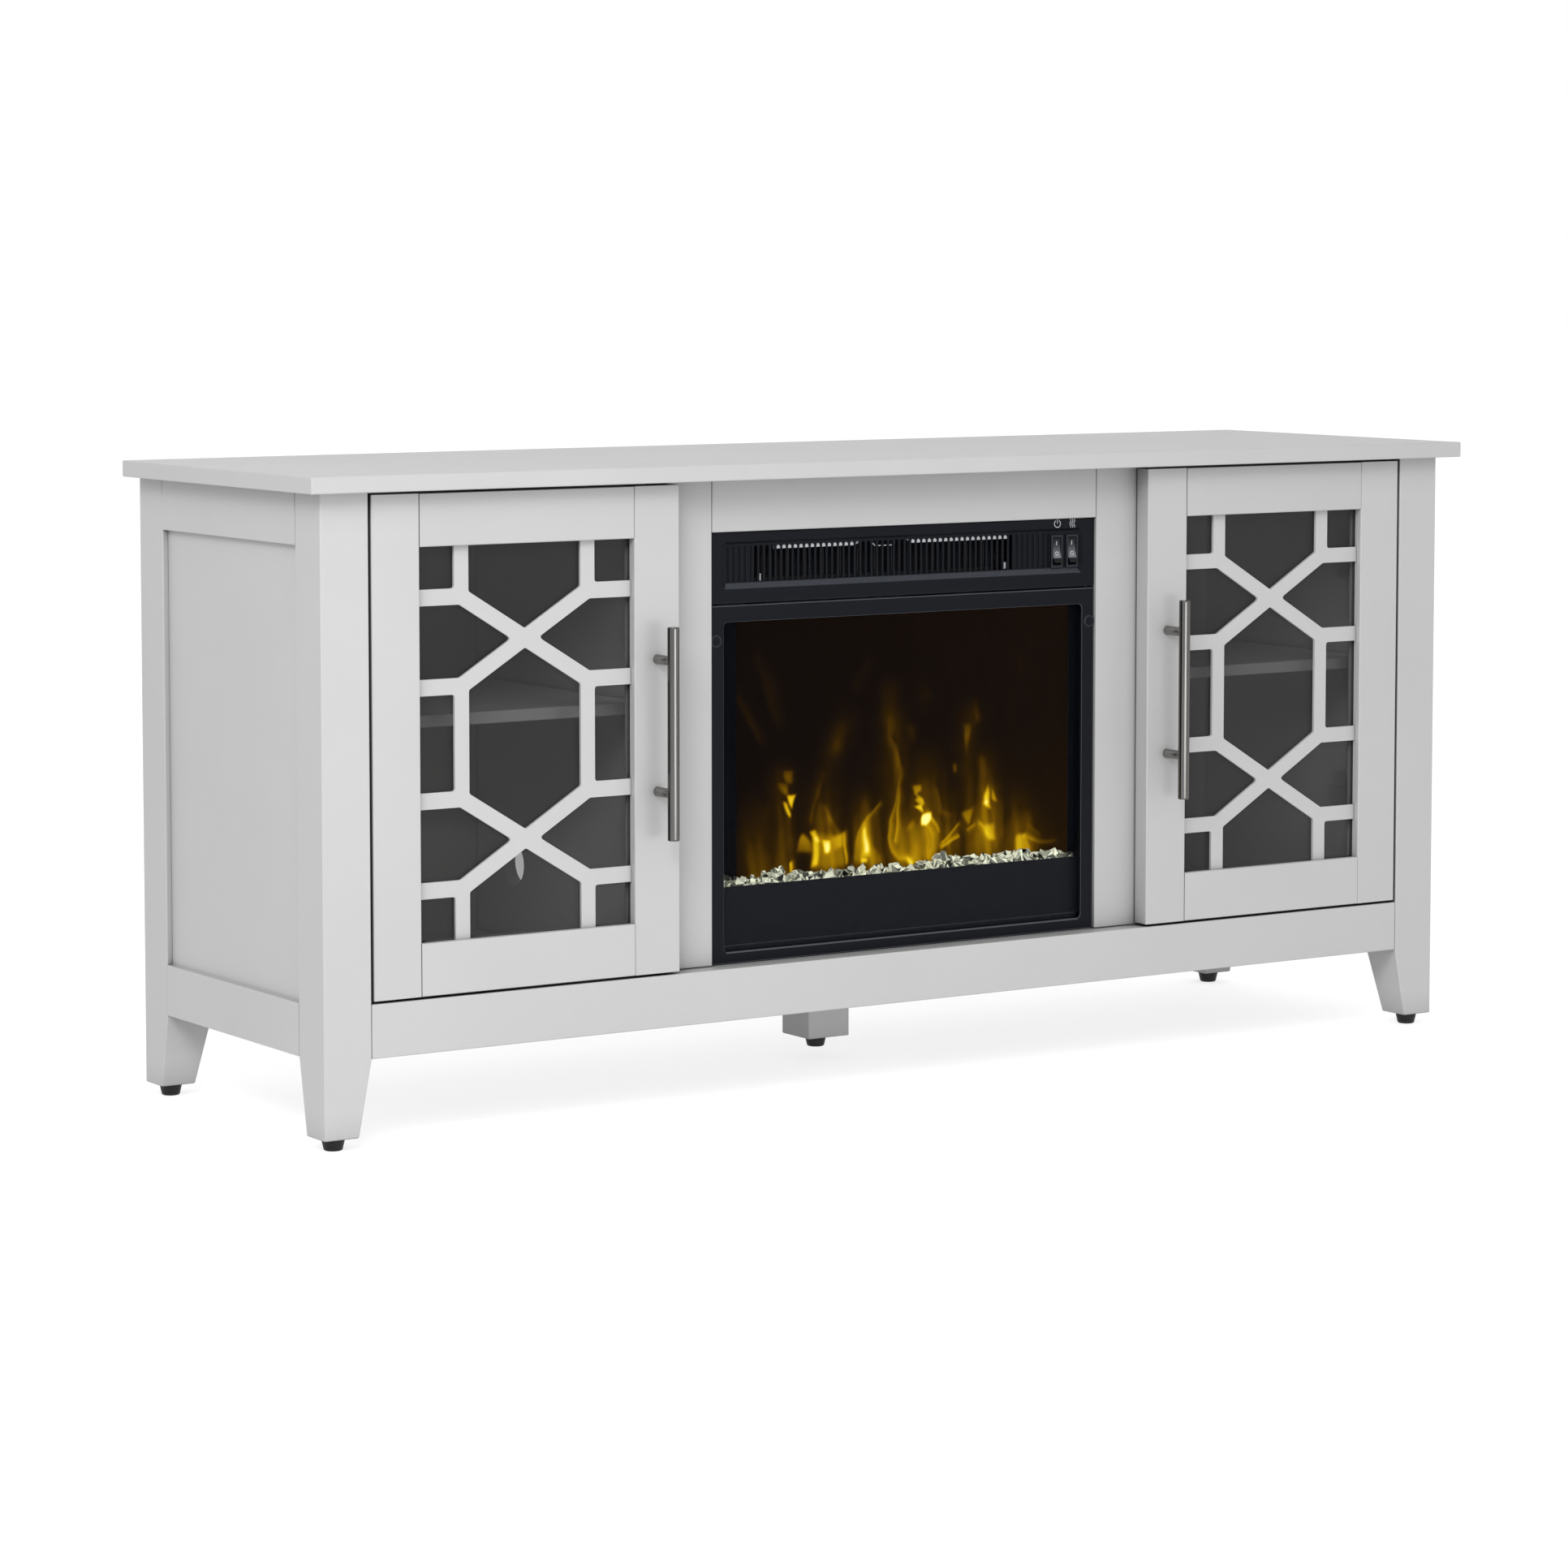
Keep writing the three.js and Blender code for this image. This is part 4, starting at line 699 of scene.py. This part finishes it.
def flame_screen():
    """The screen as a closed plate, its front a grid that is finest where the flames stand."""
    low, high = (v * 1000 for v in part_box("flame_screen"))
    y0, y1 = low.y - SHIFT_Y, high.y - SHIFT_Y
    z_low, z_high = low.z - SHIFT_Z, high.z - SHIFT_Z
    xs = np.linspace(low.x, high.x, round((high.x - low.x) / FINE_STEP) + 1)
    fine = np.arange(FINE_LOW, FINE_HIGH, FINE_STEP)
    coarse = np.arange(FINE_HIGH, z_high - TOP_GAP, COARSE_STEP)
    X, Z = np.meshgrid(xs, np.concatenate([[z_low], fine, coarse, [z_high]]))
    heat = flame_heat(X, Z)
    bm = bmesh.new()
    layer = bm.verts.layers.float.new("glow")
    grid = []
    for row_x, row_z, row_h in zip(X, Z, heat):
        grid.append([])
        for x, z, h in zip(row_x, row_z, row_h):
            v = bm.verts.new((x, y0, z))
            v[layer] = float(h)
            grid[-1].append(v)
    for low_row, high_row in zip(grid, grid[1:]):
        for k in range(len(xs) - 1):
            bm.faces.new((low_row[k], low_row[k + 1], high_row[k + 1], high_row[k]))
    rim = [*grid[0], *[r[-1] for r in grid[1:]]]
    rim += [*grid[-1][-2::-1], *[r[0] for r in grid[-2:0:-1]]]
    back = [bm.verts.new((v.co.x, y1, v.co.z)) for v in rim]
    for k in range(len(rim)):
        j = (k + 1) % len(rim)
        bm.faces.new((rim[k], back[k], back[j], rim[j]))
    bm.faces.new(back)
    screen = piece("fire_image", bm, flame_material(), "cabinet")
    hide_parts("flame_screen")


flame_screen()

# Bed of broken glass: many small faceted chips, each facet with its own tone, painted shade through
# painted highlight
CHIP_SEED, CHIP_COLUMNS, CHIP_LAYERS, CHIP_POINTS = 11, 50, 2, 11
CHIP_SIZES, CHIP_STRETCH, CHIP_LIFTS = (4.6, 7.8), (0.6, 1.15), (-1.5, 1.5)
CHIP_TURNS = (0, 6.28)
CHIP_TONES, TONE_SPREAD = (0.01, 0.04, 0.1, 0.22, 0.4, 0.6, 0.85, 1.0), 0.06
LAYER_DROP = 6.5
# Each row's depth and the height of its chips
CHIP_ROWS = ((57.0, 195.4), (62.5, 199.2), (68.5, 201.4), (73.5, 202.2))
BED_LEFT, BED_WIDTH = -220, 440
BED_SIDE, BED_FRONT, BED_BACK, BED_FOOT = 225.4, 54.8, 76.0, 188.6
# Chips past this distance from the middle get darker tones: painted shade of the chamber's corners
CORNER_FROM, CORNER_SHARE = 206, 0.6


def chip_material():
    """Facets from nearly black to bright by the tone written on each, painted shade and highlights,
    glowing in that colour as painted light.
    """
    m = Nodes("glass_chips")
    tone = m.new("ShaderNodeAttribute", attribute_name="tone").outputs["Fac"]
    color = m.ramp(tone, (0.004, 0.005, 0.005), (0.90, 0.93, 0.73), 0.0, 1.0)
    m.principled(
        Base_Color=color,
        Roughness=m.span(m.noise(300, 2), 0.05, 0.2),
        Emission_Color=color,
        Emission_Strength=0.52,
        Specular_IOR_Level=0.3,
    )
    return m.material


def direction(rng):
    """A random direction in space."""
    return Vector([rng.gauss(0, 1) for _ in range(3)]).normalized()


def chip(bm, tone, rng, x, y, z):
    """One chip: the hull of random places round its middle, kept inside the bed."""
    size = rng.uniform(*CHIP_SIZES)
    turn = Matrix.Rotation(rng.uniform(*CHIP_TURNS), 3, direction(rng))
    stretch = Vector([rng.uniform(*CHIP_STRETCH) for _ in range(3)])
    made = []
    for _ in range(CHIP_POINTS):
        p = direction(rng) * size
        p = turn @ Vector([p[i] * stretch[i] for i in range(3)])
        y_at = min(max(y + p.y, BED_FRONT), BED_BACK)
        x_at = min(max(x + p.x, -BED_SIDE), BED_SIDE)
        made.append(bm.verts.new((x_at, y_at, max(z + p.z, BED_FOOT))))
    hull = bmesh.ops.convex_hull(bm, input=made, use_existing_faces=False)
    loose = hull["geom_interior"] + hull["geom_unused"]
    spare = {e for e in loose if isinstance(e, bmesh.types.BMVert)}
    bmesh.ops.delete(bm, geom=list(spare), context="VERTS")
    light = CORNER_SHARE if abs(x) > CORNER_FROM else 1.0
    for f in [e for e in hull["geom"] if isinstance(e, bmesh.types.BMFace)]:
        if f.is_valid:
            shine = rng.choice(CHIP_TONES)
            f[tone] = light * min(1, max(0, shine + rng.gauss(0, TONE_SPREAD)))


def chips():
    """Rows of chips in two layers, on a heap whose top waves gently along the bed."""
    rng = random.Random(CHIP_SEED)
    bm = bmesh.new()
    tone = bm.faces.layers.float.new("tone")
    for row, (y, lift) in enumerate(CHIP_ROWS):
        for k in range(CHIP_COLUMNS):
            for layer in range(CHIP_LAYERS):
                heap = 2.2 * math.sin(k * 0.55 + row) + 1.5 * math.sin(k * 0.21)
                x = BED_LEFT + BED_WIDTH * (k + rng.uniform(0.1, 0.9)) / CHIP_COLUMNS
                z = lift + heap - LAYER_DROP * layer + rng.uniform(*CHIP_LIFTS)
                chip(bm, tone, rng, x, y, z)
    bed = piece("glass_chips", bm, chip_material(), "cabinet")
    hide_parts("crystal_bed")


chips()

# Power and heat symbols printed on the bezel above the switches
SYMBOL_Y, SYMBOL_DEPTH = 43.88, 0.1
POWER_X, POWER_Z, POWER_RADIUS, POWER_LINE = 186.6, 545.6, 3.8, 0.85
POWER_ARC, POWER_STEM = (125, 415), (545.8, 550.1)
WAVES_X, WAVE_LINE = (203.1, 205.6, 208.1), 0.75
WAVE_LOW, WAVE_HIGH, WAVE_POINTS = 541.2, 550, 14
WAVE_SWING, WAVE_ZERO, WAVE_RATE = 0.7, 541, 1.1
bm = bmesh.new()
open_ring = ring_path(POWER_X, POWER_Z, POWER_RADIUS, *POWER_ARC)
band(bm, open_ring, POWER_LINE, SYMBOL_Y, SYMBOL_DEPTH)
band(bm, [(POWER_X, z) for z in POWER_STEM], POWER_LINE, SYMBOL_Y, SYMBOL_DEPTH)
heights = np.linspace(WAVE_LOW, WAVE_HIGH, WAVE_POINTS)
for x in WAVES_X:
    wave = [(x + WAVE_SWING * math.sin((z - WAVE_ZERO) * WAVE_RATE), z) for z in heights]
    band(bm, wave, WAVE_LINE, SYMBOL_Y, SYMBOL_DEPTH)
piece("switch_symbols", bm, mark_grey, "cabinet")

# On and off marks on the rockers, laid on their hollow faces and tilted with them
ROCKER_TILT = math.radians(-9)
ROCKER_AXIS_Y, ROCKER_AXIS_Z = 50, 516.8
ROCKER_HALF, ROCKER_FACE, ROCKER_HOLLOW = 12.3, -5.5, 2.1
MARK_LIFT, MARK_DEPTH = 0.16, 0.12
ON_MARK, ON_LINE = (5.9, 9.9), 1.0
OFF_Z, OFF_RADIUS, OFF_LINE = -2.6, 1.8, 0.85
c, s = math.cos(ROCKER_TILT), math.sin(ROCKER_TILT)
for x, body, label in ((187.8, "power_switch", "power"), (207.1, "heat_switch", "heat")):
    bm = bmesh.new()
    band(bm, [(0, z) for z in ON_MARK], ON_LINE, 0, MARK_DEPTH)
    band(bm, ring_path(0, OFF_Z, OFF_RADIUS, 0, 352, 24), OFF_LINE, 0, MARK_DEPTH)
    for v in bm.verts:
        t = (1 - v.co.z / ROCKER_HALF) / 2
        y = ROCKER_FACE + 4 * ROCKER_HOLLOW * t * (1 - t) - MARK_LIFT + v.co.y
        y_at = ROCKER_AXIS_Y + y * c - v.co.z * s
        v.co = (x + v.co.x, y_at, ROCKER_AXIS_Z + y * s + v.co.z * c)
    piece(f"{label}_rocker_marks", bm, mark_grey, body)

# Frames round the two switches, lighter than the bezel: a painted highlight on their rims
FRAMES_X = ((180.7, 194.9), (200.0, 214.2))
FRAME_LOW, FRAME_HIGH, FRAME_RIM = 500.5, 533.5, 1.5
FRAME_Y, FRAME_DEPTH = 45.9, 0.1
z0, z1 = FRAME_LOW + FRAME_RIM, FRAME_HIGH - FRAME_RIM
bm = bmesh.new()
for x0, x1 in FRAMES_X:
    for strip in (
        (x0, x1, z1, FRAME_HIGH),
        (x0, x1, FRAME_LOW, z0),
        (x0, x0 + FRAME_RIM, z0, z1),
        (x1 - FRAME_RIM, x1, z0, z1),
    ):
        box_plate(bm, *strip, FRAME_Y, FRAME_DEPTH)
piece("switch_frames", bm, bezel_edge_highlight, "cabinet")

# Raised bead along the foot of the ember panel, lighter than it: a painted highlight line
BEAD_HALF, BEAD_Y, BEAD_Z = 217.6, 52.55, 141.2
bm = bmesh.new()
section = [(0, -1.1), (-0.45, -0.8), (-0.6, 0), (-0.45, 0.8), (0, 1.1)]
bar(bm, [(BEAD_Y + y, BEAD_Z + z) for y, z in section], BEAD_HALF)
piece("ember_bead", bm, bezel_edge_highlight, "cabinet")

# Shadow strip between the frame and the foot of the ember panel
SHADOW_HALF, SHADOW_LOW, SHADOW_HIGH = 217.9, 136.2, 140.4
SHADOW_Y, SHADOW_DEPTH = 50.7, 1.2
bm = bmesh.new()
box_plate(bm, -SHADOW_HALF, SHADOW_HALF, SHADOW_LOW, SHADOW_HIGH, SHADOW_Y, SHADOW_DEPTH)
piece("frame_sill", bm, moulding, "cabinet")

# Rounded lower lip of the fire frame's opening, lighter than the frame: a painted highlight
LIP_HALF = 215.5
bm = bmesh.new()
section = [(43.93, 135.2), (43.93, 135.9), (44.4, 136.6), (45.6, 136.75), (45.6, 136.3)]
bar(bm, section, LIP_HALF)
piece("frame_lip", bm, moulding_edge_highlight, "cabinet")

# Tinted print along both sides of the fire's glass, wider on the left
LEFT_PRINT, RIGHT_PRINT = (-218.4, -199.2), (206.8, 218.4)
PRINT_LOW, PRINT_HIGH = 206.5, 466
PRINT_Y, PRINT_DEPTH = 50.95, 0.08
for side, (x0, x1) in (("left", LEFT_PRINT), ("right", RIGHT_PRINT)):
    bm = bmesh.new()
    box_plate(bm, x0, x1, PRINT_LOW, PRINT_HIGH, PRINT_Y, PRINT_DEPTH)
    piece(f"{side}_glass_print", bm, edge_print, "cabinet")

# Domed caps over the fire frame's screws, with a slightly hollow middle, and their rims lighter: a
# painted highlight ring
CAP_X, CAP_Y, CAP_Z, CAP_SEGMENTS = 227.4, 43.1, 444.1, 36
CAP_RIM_Y = 43.0
cap_profile = [
    *[(0, 0.5), (2.5, 0.42), (3.9, 0.15)],
    *arc(4.6, 0.1, 5.7, 1.1),
    *[(5.7, 1.0), (0, 1.0)],
]
rim_profile = [(4.75, 0.1), (5.3, -0.05), (6.0, 0.3), (6.35, 0.9), (6.35, 1.0), (4.75, 1.0)]
rim_profile.append(rim_profile[0])
for side, sign in SIDES:
    x = sign * CAP_X
    bm = bmesh.new()
    lathe(bm, cap_profile, (x, CAP_Y, CAP_Z), (0, 1, 0), CAP_SEGMENTS)
    piece(f"{side}_frame_cap", bm, moulding, "cabinet", smooth=40)
    bm = bmesh.new()
    lathe(bm, rim_profile, (x, CAP_RIM_Y, CAP_Z), (0, 1, 0), CAP_SEGMENTS)
    piece(f"{side}_cap_rim", bm, bezel_edge_highlight, "cabinet", smooth=40)

# Lighter strip along the sloping sill of the heater outlet, a painted highlight where the slope
# faces up: places are (x, share of the slope)
SILL_LOW, SILL_HIGH = Vector((0, 44, 494.2)), Vector((0, 48, 499.8))
SILL_NORMAL, SILL_DEPTH, SILL_GAP_SHARE = Vector((0, -0.814, 0.581)), 0.12, 0.1
SILL_LIFT = SILL_NORMAL * SILL_DEPTH
SILL_HALF, SILL_TOP_HALF = 220.6, 216.6
bm = bmesh.new()
low_edge = [(-SILL_HALF, 0.04), (SILL_HALF, 0.04), (SILL_HALF, 0.4)]
high_edge = [(SILL_TOP_HALF, 0.97), (-SILL_TOP_HALF, 0.97), (-SILL_HALF, 0.4)]
lower = [
    SILL_LOW.lerp(SILL_HIGH, t) + Vector((x, 0, 0)) + SILL_LIFT * SILL_GAP_SHARE
    for x, t in low_edge + high_edge
]
prism(bm, [p + SILL_LIFT for p in lower], lower)
piece("outlet_sill_highlight", bm, sill_highlight, "cabinet")

# Light guard behind the louvres: two strips with a tab at each louvre, and three clips
LOUVRES, LOUVRE_FIRST, LOUVRE_STEP = 47, -178.57, 6.726
TABBED = ((-157, -58), (8, 129))
TAB_HALF, TAB_LOW, TAB_MIDDLE, TAB_Y, TAB_DEPTH = 2.1, 532.2, 533.5, 48.6, 1.9
GUARD_Y, GUARD_DEPTH = 50.4, 0.8
STRIP_LOW, STRIP_BEND, STRIP_HIGH = 531.9, 534.6, 536.2
left_strip = [(-156, STRIP_LOW), (-60, STRIP_LOW), (-54, STRIP_BEND)]
left_strip += [(-54, STRIP_HIGH), (-156, STRIP_HIGH)]
right_strip = [(4, STRIP_BEND), (10, STRIP_LOW), (128.5, STRIP_LOW)]
right_strip += [(128.5, STRIP_HIGH), (4, STRIP_HIGH)]
MIDDLE_CLIP = [(-38, 533.5), (-35, 530.6), (-14, 530.6), (-11, 533.5)]
CLIP_LINE, CLIP_DEPTH = 1.1, 0.6
SIDE_CLIPS = ((-173.4, -171, 501, 508), (123, 126, 501.5, 508))
bm = bmesh.new()
plate(bm, left_strip, GUARD_Y, GUARD_DEPTH)
plate(bm, right_strip, GUARD_Y, GUARD_DEPTH)
for k in range(LOUVRES):
    x = LOUVRE_FIRST + LOUVRE_STEP * k
    if any(low < x < high for low, high in TABBED):
        arch = ring_path(x, TAB_MIDDLE, TAB_HALF, 0, 180, 8)
        plate(bm, [(x - TAB_HALF, TAB_LOW), (x + TAB_HALF, TAB_LOW), *arch], TAB_Y, TAB_DEPTH)
band(bm, MIDDLE_CLIP, CLIP_LINE, GUARD_Y, CLIP_DEPTH)
for clip in SIDE_CLIPS:
    box_plate(bm, *clip, GUARD_Y, GUARD_DEPTH)
piece("guard_strip", bm, mark_grey, "cabinet")

# Pale floor and soft light, in metres
SKY = 0.38
FLOOR_HALF, FLOOR_LIFT = 30, 0.72
FLOOR_WHITE, WHITE_LIGHT = (0.8, 0.8, 0.8, 1), (1, 1, 1, 1)


def seen_or_mirrored(tree):
    """1 for rays from the camera, off glossy surfaces or through glass, and 0 for the rest."""
    path = tree.nodes.new("ShaderNodeLightPath")
    total = path.outputs["Is Camera Ray"]
    for name in ("Is Glossy Ray", "Is Transmission Ray"):
        node = tree.nodes.new("ShaderNodeMath")
        node.operation = "MAXIMUM"
        tree.links.new(total, node.inputs[0])
        tree.links.new(path.outputs[name], node.inputs[1])
        total = node.outputs[0]
    return total


def make_floor():
    """Pale floor: it adds its own white for the camera, so that only the shadow stays on it."""
    bm = bmesh.new()
    for x, y in ((-1, -1), (1, -1), (1, 1), (-1, 1)):
        bm.verts.new((x * FLOOR_HALF, y * FLOOR_HALF, 0))
    bm.faces.new(bm.verts)
    mesh = bpy.data.meshes.new("floor")
    bm.to_mesh(mesh)
    bm.free()
    m = Nodes("floor")
    m.principled(Base_Color=FLOOR_WHITE, Roughness=0.9, Emission_Color=WHITE_LIGHT)
    m.principled(Emission_Strength=m.span(seen_or_mirrored(m.tree), 0, FLOOR_LIFT))
    mesh.materials.append(m.material)
    floor = bpy.data.objects.new("floor", mesh)
    bpy.context.collection.objects.link(floor)


def make_world():
    """Soft even light all round, seen by the camera as plain white."""
    world = bpy.data.worlds.new("studio")
    bpy.context.scene.world = world
    world.use_nodes = True
    tree = world.node_tree
    soft = tree.nodes["Background"]
    soft.inputs["Color"].default_value = WHITE_LIGHT
    soft.inputs["Strength"].default_value = SKY
    white = tree.nodes.new("ShaderNodeBackground")
    white.inputs["Color"].default_value = WHITE_LIGHT
    white.inputs["Strength"].default_value = 1.0
    mix = tree.nodes.new("ShaderNodeMixShader")
    tree.links.new(seen_or_mirrored(tree), mix.inputs[0])
    tree.links.new(soft.outputs[0], mix.inputs[1])
    tree.links.new(white.outputs[0], mix.inputs[2])
    tree.links.new(mix.outputs[0], tree.nodes["World Output"].inputs["Surface"])


def area_light(name, place, target, size, power):
    """A rectangular lamp that the camera doesn't see."""
    data = bpy.data.lights.new(name, "AREA")
    data.shape = "RECTANGLE"
    data.size, data.size_y = size
    data.energy = power
    light = bpy.data.objects.new(name, data)
    bpy.context.collection.objects.link(light)
    light.location = place
    light.visible_camera = False
    light.rotation_euler = (Vector(target) - Vector(place)).to_track_quat("-Z", "Y").to_euler()


make_floor()
make_world()
area_light("key", place=(-2.5, -2.25, 2.3), target=(0, 0, 0.35), size=(1.8, 1.2), power=46)
area_light(
    "low_softbox", place=(-0.1, -2.3, 0.2), target=(-0.1, 0, 0.2), size=(1.3, 0.42), power=7.6
)

bpy.context.scene.view_settings.view_transform = "Standard"
